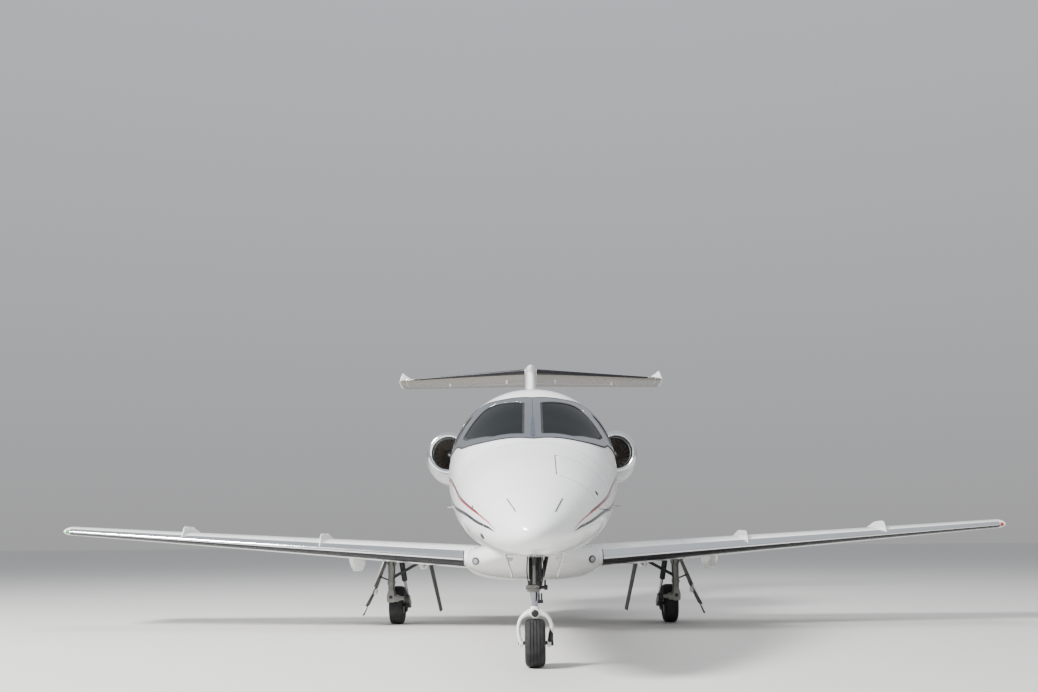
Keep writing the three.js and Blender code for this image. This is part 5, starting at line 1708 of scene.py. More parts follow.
@dataclass
class Wing:
    """A wing with its trim. The second parameter of its surface, squared, is the share of the chord."""

    side: Side
    root: tuple[float, ...] = (0.860, 5.370, 1.950, 0.872, 0.15)
    tip: tuple[float, ...] = (6.100, 5.886, 0.950, 1.250, 0.115)
    camber: float = 0.02
    incidence: float = 0.02
    edge: float = 0.007
    # From X, to X, and how far back the skin goes, as a share of the chord
    panels: tuple[tuple[float, float, float], ...] = (
        (0.700, 0.9225, 1.0), (0.9235, 3.822, 0.769), (3.8225, 3.952, 1.0), (3.953, 5.8395, 0.735),
        (5.840, 6.100, 1.0),
    )
    bay: tuple[float, float, float, float] = (0.930, 1.400, 6.350, 6.862)
    flap_back: float = 0.769
    seams: tuple[float, ...] = (1.90, 3.05, 3.88, 4.90, 5.90)
    # The tip cap's rings: X, and the shares that the chord and the thickness shrink to
    cap: tuple[tuple[float, float, float], ...] = (
        (6.0995, 1.0, 1.0), (6.113, 0.99, 0.97), (6.126, 0.965, 0.86), (6.137, 0.93, 0.68),
        (6.145, 0.88, 0.48), (6.1495, 0.82, 0.31),
    )
    wick: Outline = ((0, -0.03, 0), (0, 0.02, 0), (0, 0.09, -0.002))
    wicks: tuple[float, ...] = (4.4, 4.9, 5.4)

    def __post_init__(self) -> None:
        """Makes the surface that can be raised."""
        self.shape = raised(self.at)

    def measures(self, x: Array) -> list[Array]:
        """Leading edge, chord, height and thickness share at an X, on straight lines."""
        share = (x - self.root[0]) / (self.tip[0] - self.root[0])
        return [a + (b - a) * share for a, b in zip(self.root[1:], self.tip[1:])]

    def at(self, x: Array, way: Array) -> Array:
        """Points of the upper side where the second parameter is positive, else of the lower.

        Args:
            x: the X.
            way: the second parameter.

        Returns:
            The points.
        """
        nose, chord, z, thickness = self.measures(x)
        share = way**2
        middle = 4 * self.camber * share * (1 - share) - self.incidence * share
        half = half_thickness(share, thickness) * chord + share * self.edge / 2
        return place(x, nose + share * chord, z + middle * chord + np.sign(way) * half)

    def in_bay(self, middles: Array) -> Array:
        """Faces inside the wheel's bay, apart from the wing's own lower skin.

        Args:
            middles: the middles of the faces.

        Returns:
            Whether each face is in the bay.
        """
        x0, x1, start, end = self.bay
        station = middles[:, 1] + LENGTH / 2
        x = np.abs(middles[:, 0])
        nose, chord, *_ = self.measures(x)
        low = self.at(x, -np.sqrt(np.clip((station - nose) / chord, 0, 1)))[:, 2]
        near = (x > x0 - 0.01) & (x < x1 + 0.01) & (station > start - 0.01) & (station < end + 0.01)
        return near & (middles[:, 2] > low + 0.004)

    def skins(self) -> None:
        """Makes the fixed skins, each as far back as its flap or aileron lets it."""
        x0, x1, start, end = self.bay
        corners = dense([(x0, start), (x1, start), (x1, end), (x0, end)], 0.04)
        nose, chord, *_ = self.measures(corners[:, 0])
        hole = pairs(corners[:, 0], -np.sqrt((corners[:, 1] - nose) / chord))
        parts = []
        for inner, outer, back in self.panels:
            xs = np.linspace(inner, outer, max(3, round((outer - inner) / 0.2)))
            ways = np.linspace(-1, 1, 61) * back**0.5
            parts.append(sheet(self.shape, xs, ways, [hole] if back == self.flap_back else []))
        make_on(self.side, "wing_skin", Patch.joined(parts), WHITE, "white_paint", sharp=SKIN_SHARP)
        nose, chord, z, _ = self.measures(self.tip[0])
        points = self.at(np.full(61, self.tip[0]), np.linspace(-1, 1, 61))
        rings = []
        for x, shrink, thin in self.cap:
            centre = np.array([x, nose + 0.7 * chord - LENGTH / 2, z])
            rise = (0, 0, (points[:, 2].mean() - z) * (1 - thin))
            rings.append((points - centre) * (0, shrink, thin) + centre + rise)
        make_on(self.side, "wing_tip_cap", Patch.solid(np.array(rings)), WHITE, "white_paint",
                sharp=CAP_SHARP)

    def trim(self) -> None:
        """Makes the polished leading edge with a painted dark reflection along its lower side, the seams, the
        tip lamp and the wicks.
        """
        side = self.side
        # The lower band's dark finish is a painted reflection of the ground
        for kind, finish, low, high in (
            ("leading_edge", POLISHED, -0.045, 0.23), ("edge_underside", DARK_REFLECTION_BAND, -0.27, -0.05),
        ):
            xs, ways = np.linspace(0.875, 6.04, 40), np.linspace(low, high, 24)
            edge = sheet(self.shape, xs, ways, lift=0.0034, under=0.0018)
            make_on(side, "wing_" + kind, edge, finish, "white_aluminium", sharp=SKIN_SHARP)
        path = pairs(0.869, np.linspace(-0.28, 0.24, 40))
        make_on(side, "wing_edge_gasket", ribbon(self.shape, path, 0.011, 0.0045, 0.001), SEAL, "tyre")
        seams = []
        for x in self.seams:
            back = next(b for i, o, b in self.panels if i <= x <= o) ** 0.5
            for ways in (np.linspace(-back, -0.28, 24), np.linspace(0.24, back, 24)):
                seams.append(ribbon(self.shape, pairs(x, ways), 0.003, 0.0025, 0.001))
        make_on(side, "wing_seams", Patch.joined(seams), SEAM, "tyre")
        lens = sheet(self.shape, np.linspace(6.045, 6.085, 6), np.linspace(-0.13, 0.13, 20), lift=0.004,
                     under=0.0015)
        glow = RED_LAMP if side is Side.LEFT else GREEN_LAMP
        make_on(side, "tip_lamp", lens, glow, "window_glass", sharp=SKIN_SHARP)
        radii = np.array([0.004, 0.003, 0.0015])
        wicks = [tube(self.at(x, 1.0) + np.array(self.wick), radii, 8) for x in self.wicks]
        make_on(side, "aileron_wicks", Patch.joined(wicks), BLACK, "panel_dark", "aileron")

    def build(self) -> None:
        """Builds the wing's pieces."""
        dress([self.side.name_of("wing")], WHITE, BAY_PRIMER, self.in_bay)
        dress([self.side.name_of("flap"), self.side.name_of("aileron")], WHITE)
        self.skins()
        self.trim()


@dataclass
class Tail:
    """Fin, tailplane and bullet fairing."""

    fin: tuple[tuple[float, ...], ...] = (
        # height, leading edge, trailing edge, thickness
        (2.250, 9.480, 12.020, 0.235),
        (2.550, 9.760, 12.085, 0.232),
        (3.400, 10.550, 12.290, 0.215),
        (4.225, 11.312, 12.484, 0.198),
    )
    plane: tuple[tuple[float, ...], ...] = (
        # X, leading edge, trailing edge, height of the leading edge, thickness, fall to the trailing edge
        (0.0, 11.410, 12.600, 4.222, 0.132, 0.140),
        (2.380, 11.936, 12.735, 4.132, 0.080, 0.058),
        (2.470, 11.962, 12.735, 4.127, 0.062, 0.054),
        (2.526, 12.060, 12.720, 4.119, 0.020, 0.046),
    )
    upturn: tuple[tuple[float, ...], ...] = (
        # X, front, station and height of the crest, height of the back's lower edge
        (2.296, 12.340, 12.520, 4.150, 4.078),
        (2.340, 12.290, 12.515, 4.238, 4.078),
        (2.420, 12.200, 12.500, 4.290, 4.076),
        (2.500, 12.120, 12.470, 4.349, 4.073),
        (2.5255, 12.095, 12.460, 4.300, 4.070),
    )
    bullet: tuple[tuple[float, ...], ...] = (
        # station, half width, top, bottom
        (11.12, 0.012, 4.252, 4.224),
        (11.23, 0.062, 4.290, 4.160),
        (11.45, 0.102, 4.304, 4.116),
        (11.75, 0.108, 4.308, 4.108),
        (12.30, 0.082, 4.298, 4.100),
        (12.82, 0.008, 4.240, 4.200),
    )
    # The band of painted dark reflection and the polished bright edge above it, as X and the second parameter
    edge_marks: tuple[Outline, ...] = (
        ((0.115, -0.30), (2.22, -0.13), (2.22, 0.06), (0.115, 0.13)),
        ((0.115, 0.13), (2.22, 0.06), (2.36, 0.0), (2.36, 0.235), (0.115, 0.235)),
    )
    dorsal: tuple[tuple[float, float], ...] = (
        (8.75, 2.640), (8.85, 2.712), (9.30, 2.765), (9.70, 2.830), (10.35, 3.060), (10.70, 3.350),
    )
    fin_back: float = 0.635
    plane_back: float = 0.65
    # The pods' X, first station, length and depth
    pods: tuple[tuple[float, ...], ...] = ((0.46, 11.82, 0.42, 0.035), (1.55, 12.05, 0.30, 0.026))

    def fin_at(self, z: Array, way: Array) -> Array:
        """Points of the fin: the second parameter squared is the chord's share, its sign the side.

        Args:
            z: the height.
            way: the second parameter.

        Returns:
            The points.
        """
        table = np.array(self.fin)
        front, back, thick = (np.interp(z, table[:, 0], table[:, k]) for k in (1, 2, 3))
        chord, share = back - front, way**2
        half = half_thickness(share, thick / chord) * chord + share * 0.0035
        return place(-np.sign(way) * half, front + share * chord, z)

    def plane_at(self, x: Array, way: Array) -> Array:
        """Points of the tailplane at an X, made as the fin's are.

        Args:
            x: the X.
            way: the second parameter.

        Returns:
            The points.
        """
        table = np.array(self.plane)
        front, back, height, thick, fall = (np.interp(x, table[:, 0], table[:, k]) for k in (1, 2, 3, 4, 5))
        chord, share = back - front, way**2
        half = half_thickness(share, thick / chord) * chord + share * 0.0035
        return place(x, front + share * chord, height - share * fall + np.sign(way) * half)

    def below(self, middles: Array) -> Array:
        """Faces on the tailplane's underside, apart from those of the bullet and the tips; they take the
        beige darkened with painted shade.

        Args:
            middles: the middles of the faces.

        Returns:
            Whether each face is one of them.
        """
        x, station = np.abs(middles[:, 0]), middles[:, 1] + LENGTH / 2
        front, back, height, _, fall = (np.interp(x, *np.array(self.plane).T[[0, k]]) for k in range(1, 6))
        return (middles[:, 2] < height - fall * (station - front) / (back - front)) & (x > 0.11) & (x < 2.49)

    def tip(self) -> Patch:
        """The port tip's upturned end: its top rises to the crest as a smooth step, then runs level.

        Returns:
            The closed tip.
        """
        rows = smooth_path(self.upturn, 24)[:, None, :]
        x, front, crest_station, crest, low = (rows[..., k] for k in range(5))
        base = np.interp(x, *np.array(self.plane).T[[0, 3]]) - 0.04 * (front - 12.0)
        share = np.linspace(0, 1, 26)[None]
        station = front + (12.729 - front) * share
        rise = np.clip((station - front) / (crest_station - front), 0, 1)
        top = base + (crest + 0.001 - base) * rise**2 * (3 - 2 * rise)
        bottom = base - 0.0135 + (low - base + 0.011) * rise
        points = place(x + 0 * share, station, top), place(x + 0 * share, station, bottom)[:, ::-1]
        return Patch.solid(np.concatenate(points, axis=1))

    def build_fin(self) -> None:
        """Makes the fin's skin, the bullet with its seam, and the ridge of the dorsal fin."""
        ways = np.linspace(-1, 1, 49) * self.fin_back**0.5
        fin = sheet(raised(self.fin_at), np.linspace(2.50, 4.16, 24), ways)
        make("fin_skin", fin, WHITE, "white_aluminium", sharp=SKIN_SHARP)
        body = Body(self.bullet, 2.0)
        stations, angles = np.linspace(11.12, 12.815, 60), np.linspace(-np.pi, np.pi, 49)
        bullet = sheet(body.shape, stations, angles, lift=0.0004, under=-0.001)
        make("bullet_skin", bullet, WHITE, "white_aluminium", sharp=SKIN_SHARP)
        path = pairs(11.32, circle(60))
        make("bullet_seam", ribbon(body.shape, path, 0.004, 0.0006, 0, True), SEAM, "tyre")
        top = np.array(self.dorsal)
        stations = np.linspace(8.76, 10.69, 50)
        crest = monotone(top[:, 0], top[:, 1])(stations)[:, None] + 0.002
        turn = np.linspace(0, np.pi, 17)[None]
        half, shoulder, foot = 0.0345, 0.054, np.full((50, 1), 2.5)
        over = half * signed_power(np.cos(turn), 0.9) + 0 * crest
        x = np.concatenate([np.full((50, 1), half), over, np.full((50, 1), -half)], 1)
        z = np.concatenate([foot, crest - shoulder + shoulder * np.sin(turn) ** 0.9, foot], 1)
        ridge = Patch.solid(place(x, stations[:, None], z))
        make("dorsal_fin_skin", ridge, WHITE, "white_aluminium", sharp=SKIN_SHARP)

    def hinge_pods(self) -> Patch:
        """The pods under the port elevator's hinges: small bodies that hang deepest before the hinge.

        Returns:
            The pods of one side.
        """
        pods = []
        for x, start, length, deep in self.pods:
            z = 4.140 - 0.02 * x
            pods.append(Body((
                (start, 0.004, z, z - 0.005), (start + 0.07, 0.02, z, z - 0.03 - deep * 0.6),
                (start + 0.20, 0.024, z - 0.01, z - 0.045 - deep),
                (start + length, 0.004, z - 0.045, z - 0.055),
            ), 2.0, centre=x).pod(start, start + length))
        return Patch.joined(pods)

    def build(self) -> None:
        """Builds the tail's pieces."""
        dress(["fin", "rudder", "ventral_fin"], WHITE)
        # The undersides' faces take the beige darkened with painted shade
        dress(["stabilizer", "elevator_left", "elevator_right"], WHITE, BEIGE_PAINTED_SHADE, self.below)
        self.build_fin()
        plane, slot = raised(self.plane_at), "white_aluminium"
        skin = sheet(plane, np.linspace(0.05, 2.378, 20), np.linspace(-1, 1, 49) * self.plane_back**0.5)
        marks = [dense(corners, 0.05) for corners in self.edge_marks]
        xs, ways = np.linspace(0.11, 2.37, 30), np.linspace(-0.79, 0.24, 44)
        lower = sheet(plane, xs, ways, marks=marks, scale=(1.0, 0.6), lift=0.0036, under=0.0015)
        for side in Side:
            make_on(side, "tailplane_tip", self.tip(), WHITE, slot, sharp=BEND_SHARP)
            make_on(side, "tailplane_skin", skin, WHITE, slot, sharp=SKIN_SHARP)
            # The underside's skin: beige darkened with painted shade
            piece = make_on(side, "tailplane_underside", lower, BEIGE_PAINTED_SHADE, slot, sharp=SKIN_SHARP)
            # The underside's marks: the painted dark reflection, then the polished edge
            for finish in (DARK_REFLECTION_BAND, POLISHED):
                piece.data.materials.append(finish.material())
            make_on(side, "hinge_pods", self.hinge_pods(), WHITE, slot, sharp=SKIN_SHARP)


# Engines


@dataclass
class Engine:
    """A nacelle with its polished lip, fan, stators, nozzle and pylon."""

    side: Side
    x: float = 1.240
    z: float = 2.372
    outer: tuple[tuple[float, ...], ...] = (
        # station, half width, height above and depth below the axis
        (9.900, 0.232, 0.228, 0.246),
        (9.400, 0.318, 0.310, 0.372),
        (8.900, 0.362, 0.348, 0.440),
        (8.150, 0.364, 0.350, 0.438),
        (7.740, 0.333, 0.330, 0.352),
        (7.660, 0.317, 0.315, 0.325),
        (7.622, 0.301, 0.299, 0.303),
        (7.606, 0.285, 0.284, 0.286),
        (7.600, 0.268, 0.268, 0.268),
    )
    inner: tuple[tuple[float, float], ...] = (
        (7.606, 0.252), (7.625, 0.240), (7.670, 0.229), (7.740, 0.224), (7.830, 0.229), (7.930, 0.239),
        (8.100, 0.240),
        (8.120, 0.2465), (9.280, 0.2465), (9.320, 0.226), (9.890, 0.216),
    )
    fan_station: float = 8.010
    fan_radius: float = 0.230
    hub: float = 0.078
    blades: int = 20
    stators: int = 26
    seams: tuple[float, ...] = (7.755, 8.32, 9.38)
    jet_pipe: Outline = ((9.33, 0.2245), (9.6, 0.2195), (9.898, 0.2135))
    spinner: Outline = (
        (0, 0.002), (0.03, 0.016), (0.12, 0.035), (0.3, 0.056), (0.5, 0.069), (0.68, 0.078), (1, 0.078),
    )
    plug: Outline = (
        (0, 0.2452), (0.679, 0.2452), (0.70, 0.16), (0.714, 0.122), (0.84, 0.118), (0.93, 0.07), (1, 0.004),
    )
    pylon_height: float = 2.34
    pylon_span: tuple[float, float] = (0.60, 0.96)
    # Station and half thickness along the pylon
    pylon: tuple[tuple[float, float], ...] = (
        (7.98, 0.004), (8.12, 0.050), (8.50, 0.065), (9.10, 0.061), (9.56, 0.012),
    )
    # How far the pylon's skin stands out at its two ends, and above and below
    pylon_ends: float = 0.004
    pylon_lift: float = 0.002

    def rings(self, rows: Array, sides: int = 72) -> Array:
        """Rings about the engine's axis: half width times cosine across, height or depth times sine up.

        Args:
            rows: station, half width, height and depth of each ring.
            sides: how many points each has.

        Returns:
            The rings' points.
        """
        turn = circle(sides)[None]
        station, half, above, below = (c[:, None] for c in np.asarray(rows, float).T)
        height = np.where(np.sin(turn) >= 0, above, below)
        return place(self.x + half * np.cos(turn), station + 0 * turn, self.z + height * np.sin(turn))

    def round_rows(self, rows: Outline) -> Array:
        """Rows of station and radius as rows of station, half width, height and depth."""
        return np.asarray(rows, float)[:, [0, 1, 1, 1]]

    def liner(self, rows: Outline, count: int, depth: float, thickness: float) -> Patch:
        """A closed wall of rings within rows of station and radius.

        Args:
            rows: the rows.
            count: how many rings there are.
            depth: how far inside the rows the wall starts.
            thickness: how thick it is.

        Returns:
            The wall.
        """
        outer, inner = (
            self.rings(smooth_path(self.round_rows(np.array(rows) - (0, deep)), count))
            for deep in (depth, depth + thickness)
        )
        return Patch.wall(outer, inner)

    def cowl(self) -> None:
        """Makes the nacelle as one closed shell, its polished lip, its seams, and the dark duct's lining."""
        out, into = smooth_path(self.outer, 90), smooth_path(self.round_rows(self.inner), 70)
        shell = Patch.grid(self.rings(np.concatenate([out, into])), around=True, closed=True)
        make_on(self.side, "nacelle_shell", shell, WHITE, "white_aluminium", stands_for="nacelle",
                sharp=SKIN_SHARP)
        middle = self.rings(np.concatenate([out[out[:, 0] < 7.745], into[into[:, 0] < 7.70]]))
        around = np.roll(middle, -1, axis=1) - np.roll(middle, 1, axis=1)
        normal = np.cross(np.gradient(middle, axis=0), around)
        normal /= np.linalg.norm(normal, axis=-1, keepdims=True)
        normal *= np.sign(np.sum(normal[0] * (middle[0] - (self.x, middle[0, 0, 1], self.z))))
        lip = Patch.wall(middle + normal * 0.0016, middle - normal * 0.001)
        make_on(self.side, "inlet_lip", lip, POLISHED, "white_aluminium", sharp=SKIN_SHARP)
        duct = self.liner([row for row in self.inner if 7.70 < row[0] < 8.11], 30, 0.0012, 0.0012)
        make_on(self.side, "duct_lining", duct, DUCT, "engine_metal", sharp=SKIN_SHARP)
        seams = []
        for station in self.seams:
            row = np.array([np.interp(station, out[::-1, 0], out[::-1, k]) for k in range(4)])
            band = row + np.array([(along, 0.0007, 0.0007, 0.0007) for along in (-0.0025, 0.0025)])
            seams.append(Patch.wall(self.rings(band), self.rings(band - (0, 0.003, 0.003, 0.003))))
        make_on(self.side, "nacelle_seams", Patch.joined(seams), SEAM, "tyre")

    def fan(self) -> None:
        """Makes the fan's curved blades, its spinner, the stators behind it and the nozzle's plug."""
        side, centre = self.side, place(self.x, self.fan_station, self.z)
        span = np.linspace(0, 1, 12)[:, None]
        turn = circle(20)[None]
        radius = self.hub - 0.008 + (self.fan_radius - self.hub + 0.0075) * span
        pitch = 0.55 + 0.50 * span
        chord = (0.024 + 0.011 * np.sin(np.pi * span * 0.8)) * np.cos(turn)
        thick = (0.0035 - 0.002 * span) * np.sin(turn)
        bow = 0.30 * span**1.5 + 0.10 * np.sin(np.pi * span)
        aft = 0.033 + chord * np.cos(pitch) - thick * np.sin(pitch)
        aside = chord * np.sin(pitch) + thick * np.cos(pitch)
        angle = bow + aside / radius
        points = np.stack([radius * np.cos(angle), aft, radius * np.sin(angle)], axis=-1)
        wheel = spokes(Patch.solid(points), self.blades, centre)
        make_on(side, "fan_blades", wheel, FAN_METAL, "fan_metal", "fan", "fan")
        spinner = spindle(centre - (0, 0.15, 0), centre + (0, 0.07, 0), self.spinner, 48)
        make_on(side, "fan_spinner", spinner, STEEL, "fan_metal", "fan")
        vane = block((-0.003, 8.095, 0.02), (0.003, 8.113, 0.238))
        make_on(side, "stators", spokes(vane, self.stators, (self.x, 0, self.z)), GEAR_DARK, "engine_metal")
        plug = spindle(place(self.x, 8.118, self.z), place(self.x, 9.83, self.z), self.plug, 60)
        make_on(side, "nozzle_plug", plug, EXHAUST, "engine_metal", stands_for="engine_core")
        pipe = self.liner(self.jet_pipe, 12, 0.0, 0.0025)
        make_on(side, "jet_pipe", pipe, EXHAUST, "engine_metal", sharp=SKIN_SHARP)

    def build(self) -> None:
        """Builds the engine's pieces."""
        self.cowl()
        self.fan()
        rows = np.array(self.pylon)
        share = (1 - np.cos(np.linspace(0, np.pi, 40))) / 2
        length = rows[-1, 0] - rows[0, 0] + 2 * self.pylon_ends
        station = rows[0, 0] - self.pylon_ends + length * share
        half = monotone(rows[:, 0], rows[:, 1])(station) + self.pylon_lift
        around = np.concatenate([station, station[::-1]])
        height = np.concatenate([self.pylon_height + half, (self.pylon_height - half)[::-1]])
        rings = place(np.linspace(*self.pylon_span, 6)[:, None], around, height)
        dress([self.side.name_of("pylon")], WHITE)
        make_on(self.side, "pylon_skin", Patch.solid(rings), WHITE, "white_paint", sharp=SKIN_SHARP)


# Gear


def wheel_profile(profile: Outline, centre: Array, sides: int) -> Patch:
    """A closed profile of X and radius turned about a line along X through a centre.

    Args:
        profile: rows of X and radius.
        centre: the wheel's centre.
        sides: how many sides the circle has.

    Returns:
        The closed ring.
    """
    x, radius = np.asarray(profile, float).T
    turn = circle(sides)[:, None]
    points = np.stack(np.broadcast_arrays(x, radius * np.cos(turn), radius * np.sin(turn)), axis=-1)
    return Patch.grid(points + centre, around=True, closed=True)


@dataclass
class Wheel:
    """A wheel: tyre with grooves, rim with its hub, and nuts."""

    name: str
    body: str
    solids: tuple[str, str]
    centre: tuple[float, float, float]
    radius: float
    half_width: float
    rim: float
    grooves: tuple[float, ...]
    nuts: int
    # Half of the rim's section, as shares of its half width and radius
    section: Outline = (
        (0.9, 1.0), (1, 0.99), (1, 0.86), (0.8, 0.84), (0.45, 0.80), (0.30, 0.62), (0.42, 0.44), (0.72, 0.34),
        (0.72, 0.18),
    )
    # A groove's corners: across from its middle, and below the tread
    groove: Outline = ((-0.0035, 0.0), (-0.003, 0.006), (0.003, 0.006), (0.0035, 0.0))

    def tyre_profile(self) -> Array:
        """The tyre's outline: nearly flat tread, round shoulders, bulging walls and narrow grooves.

        Returns:
            Rows of X and radius.
        """
        top, half, low = self.radius, self.half_width, self.rim
        walls = smooth_path([
            (-half * 0.76, low + 0.002), (-half * 0.90, low + 0.012),
            (-half * 0.998, low + (top - low) * 0.45),
            (-half * 0.93, low + (top - low) * 0.74), (-half * 0.76, top - 0.0085),
            (-half * 0.5, top - 0.0012),
        ], 22)
        cuts = [(x + across, top - deep) for x in self.grooves for across, deep in self.groove]
        tread = np.array([(x, r - 0.0012 * (x / half / 0.5) ** 2) for x, r in sorted(cuts)])
        other = walls[::-1] * (-1, 1)
        base = np.array([(half * 0.74, low + 0.0012), (-half * 0.74, low + 0.0012)])
        return np.concatenate([walls, tread, other, base])

    def build(self) -> None:
        """Builds the wheel's pieces."""
        centre = place(*self.centre)
        half, rim = self.half_width * 0.8, self.rim
        tyre = wheel_profile(self.tyre_profile(), centre, 96)
        make(self.name + "_tyre_tread", tyre, TYRE, "tyre", self.body, BEND_SHARP,
             stands_for=[self.solids[1]])
        right = np.array(self.section)
        section = np.roll(np.concatenate([right, right[::-1] * (-1, 1)]), 3, axis=0)
        disc = wheel_profile(section * (half, rim), centre, 72)
        bolts = []
        for k in range(self.nuts):
            turn = 2 * math.pi * k / self.nuts
            spot = centre + np.array([0, math.cos(turn), math.sin(turn)]) * rim * 0.62
            for way in (-1, 1):
                bolts.append(rod(spot + (way * half * 0.25, 0, 0), spot + (way * half * 0.46, 0, 0), 0.0065))
        make(self.name + "_wheel_rim", disc, GEAR_WHITE, "grey_gear", self.body, GEAR_SHARP, 0.001,
             [self.solids[0]])
        make(self.name + "_wheel_nuts", Patch.joined(bolts), STEEL, "grey_gear", self.body)


@dataclass
class NoseGear:
    """The nose gear: a white tubular fork on a chrome piston under a dark leg."""

    station: float = 1.360
    axle: float = 0.203
    arch: tuple[tuple[float, ...], ...] = (
        # X and height of the port arm's middle, half width along the wheel, half thickness
        (0.0, 0.457, 0.052, 0.036), (0.045, 0.455, 0.051, 0.033), (0.084, 0.440, 0.050, 0.024),
        (0.114, 0.415, 0.047, 0.0185),
        (0.135, 0.378, 0.045, 0.017), (0.1435, 0.335, 0.042, 0.0165), (0.142, 0.290, 0.038, 0.016),
        (0.133, 0.240, 0.035, 0.0155), (0.124, 0.198, 0.034, 0.015),
    )
    # Profiles of turned parts, as the share of the way and the radius
    ring: Outline = ((0, 0.042), (0.85, 0.044), (1, 0.040))
    boss: Outline = ((0, 0.032), (0.7, 0.032), (1, 0.024))
    spigot: Outline = ((0, 0.024), (0.5, 0.021), (1, 0.012))
    piston: Outline = ((0, 0.027), (0.35, 0.0275), (0.75, 0.043), (1, 0.0445))
    knob: Outline = ((0, 0.020), (0.2, 0.023), (0.8, 0.023), (1, 0.017))
    collar: Outline = (
        (0, 0.050), (0.15, 0.058), (0.45, 0.058), (0.5, 0.053), (0.6, 0.060), (0.95, 0.060), (1, 0.054),
    )
    barrel: Outline = (
        (0, 0.046), (0.016, 0.052), (0.06, 0.050), (0.065, 0.060), (0.13, 0.062), (0.135, 0.052), (1, 0.052),
    )
    # X, station from the leg and height of both ends, and radius: trunnion, brace and rods beside the barrel
    struts: Outline = (
        (-0.189, 0, 1.13, 0.189, 0, 1.13, 0.026),
        (0, -0.02, 0.80, 0, -0.251, 1.17, 0.022),
        (0.07, 0, 0.76, 0.15, 0.04, 1.12, 0.018),
        (0.045, -0.035, 0.74, 0.048, -0.035, 1.20, 0.020),
        (-0.040, -0.030, 0.74, -0.042, -0.030, 1.20, 0.011),
    )
    # X, station from the leg and height along each hose
    hoses: tuple[Outline, ...] = (
        ((-0.05, -0.05, 0.69), (-0.066, -0.055, 0.80), (-0.06, -0.05, 0.95), (-0.05, -0.02, 1.18)),
        ((0.06, -0.05, 0.69), (0.078, -0.05, 0.82), (0.07, -0.05, 1.0), (0.075, -0.02, 1.19)),
    )

    def fork(self) -> None:
        """Makes the fork: an oval bar carried along the arch on both sides, lugs, ring and dark boss."""
        path = smooth_path(np.array(self.arch), 40)
        both = np.concatenate([path[::-1] * (-1, 1, 1, 1), path[1:]])
        centre = place(both[:, 0], self.station, both[:, 1])
        way, _, _ = normals_along(centre)
        out = np.stack([way[:, 2], np.zeros(len(way)), -way[:, 0]], axis=-1)
        turn = circle(28)[None, :, None]
        wide, thick = both[:, 2][:, None, None], both[:, 3][:, None, None]
        section = signed_power(np.cos(turn), 0.8) * out[:, None] * thick
        section = section + signed_power(np.sin(turn), 0.8) * np.array((0, 1, 0)) * wide
        arch = Patch.solid(centre[:, None] + section)
        s, z = self.station, self.axle
        lugs = [rod(place(x * 0.106, s, z), place(x * 0.137, s, z), 0.034) for x in (-1, 1)]
        ring = spindle(place(0, s + 0.02, 0.457), place(0, s - 0.060, 0.457), self.ring, 36)
        crown = spindle(place(0, s, 0.465), place(0, s, 0.512), [(0, 0.050), (0.4, 0.048), (1, 0.034)], 36)
        white = Patch.joined([arch, *lugs, ring, crown])
        make("fork_arch", white, GEAR_WHITE, "gear_white", "nose_gear_steered", BEND_SHARP,
             stands_for=["nose_fork"])
        metal = [
            *rods([(-0.147, 0, z, 0.147, 0, z, 0.016), (0.137, 0, z, 0.158, 0, z, 0.024)], s),
            spindle(place(0, s - 0.05, 0.455), place(0, s - 0.068, 0.455), self.boss, 28),
            spindle(place(0.130, s - 0.018, 0.215), place(0.141, s - 0.025, 0.335), self.spigot, 20),
        ]
        make("fork_fittings", Patch.joined(metal), GEAR_DARK, "engine_metal", "nose_gear_steered", GEAR_SHARP)
        piston = spindle(place(0, s, 0.505), place(0, s, 0.650), self.piston, 36)
        make("nose_piston", piston, CHROME, "engine_metal", "nose_gear_steered")
        outline = rounded([(s - 0.095, 0.622), (s - 0.06, 0.626), (s - 0.04, 0.55), (s - 0.06, 0.535),
                           (s - 0.088, 0.575)], 0.008)
        link = [prism(outline, "x", 0.030, 0.044), prism(outline, "x", 0.052, 0.066)]
        link.append(rod(place(0.024, s - 0.06, 0.555), place(0.072, s - 0.06, 0.555), 0.014))
        make("torque_link_lower", Patch.joined(link), GEAR_DARK, "engine_metal", "nose_gear_steered",
             GEAR_SHARP)

    def leg(self) -> None:
        """Makes the fixed leg: barrel, collar, trunnion, brace, rods, knob and hoses."""
        s = self.station
        barrel = spindle(place(0.008, s, 0.652), place(0.008, s, 1.2247), self.barrel, 40)
        leg = Patch.joined([barrel, *rods(self.struts, s)])
        make("nose_leg_barrel", leg, GEAR_DARK, "grey_gear", sharp=GEAR_SHARP, stands_for=["nose_leg"])
        collar = [
            spindle(place(-0.012, s - 0.012, 0.632), place(-0.012, s - 0.012, 0.695), self.collar, 36),
            *rods([
                (-0.078, -0.02, 0.668, -0.05, -0.02, 0.668, 0.012),
                (-0.004, -0.072, 0.70, -0.004, -0.066, 1.19, 0.013),
            ], s),
        ]
        make("nose_leg_collar", Patch.joined(collar), GEAR_GREY, "grey_gear", sharp=GEAR_SHARP)
        knob = Patch.joined([
            *rods([(0.05, -0.008, 0.672, 0.092, -0.008, 0.672, 0.014)], s),
            spindle(place(0.082, s - 0.008, 0.672), place(0.114, s - 0.008, 0.672), self.knob, 24),
            *rods([(0.090, -0.008, 0.69, 0.092, -0.008, 0.735, 0.008)], s),
        ])
        make("steering_knob", knob, BLACK, "panel_dark", sharp=GEAR_SHARP)
        hoses = [
            tube(smooth_path([place(x, s + along, z) for x, along, z in rows], 30), 0.0055, 12)
            for rows in self.hoses
        ]
        make("nose_leg_lines", Patch.joined(hoses), BLACK, "panel_dark", sharp=BEND_SHARP)

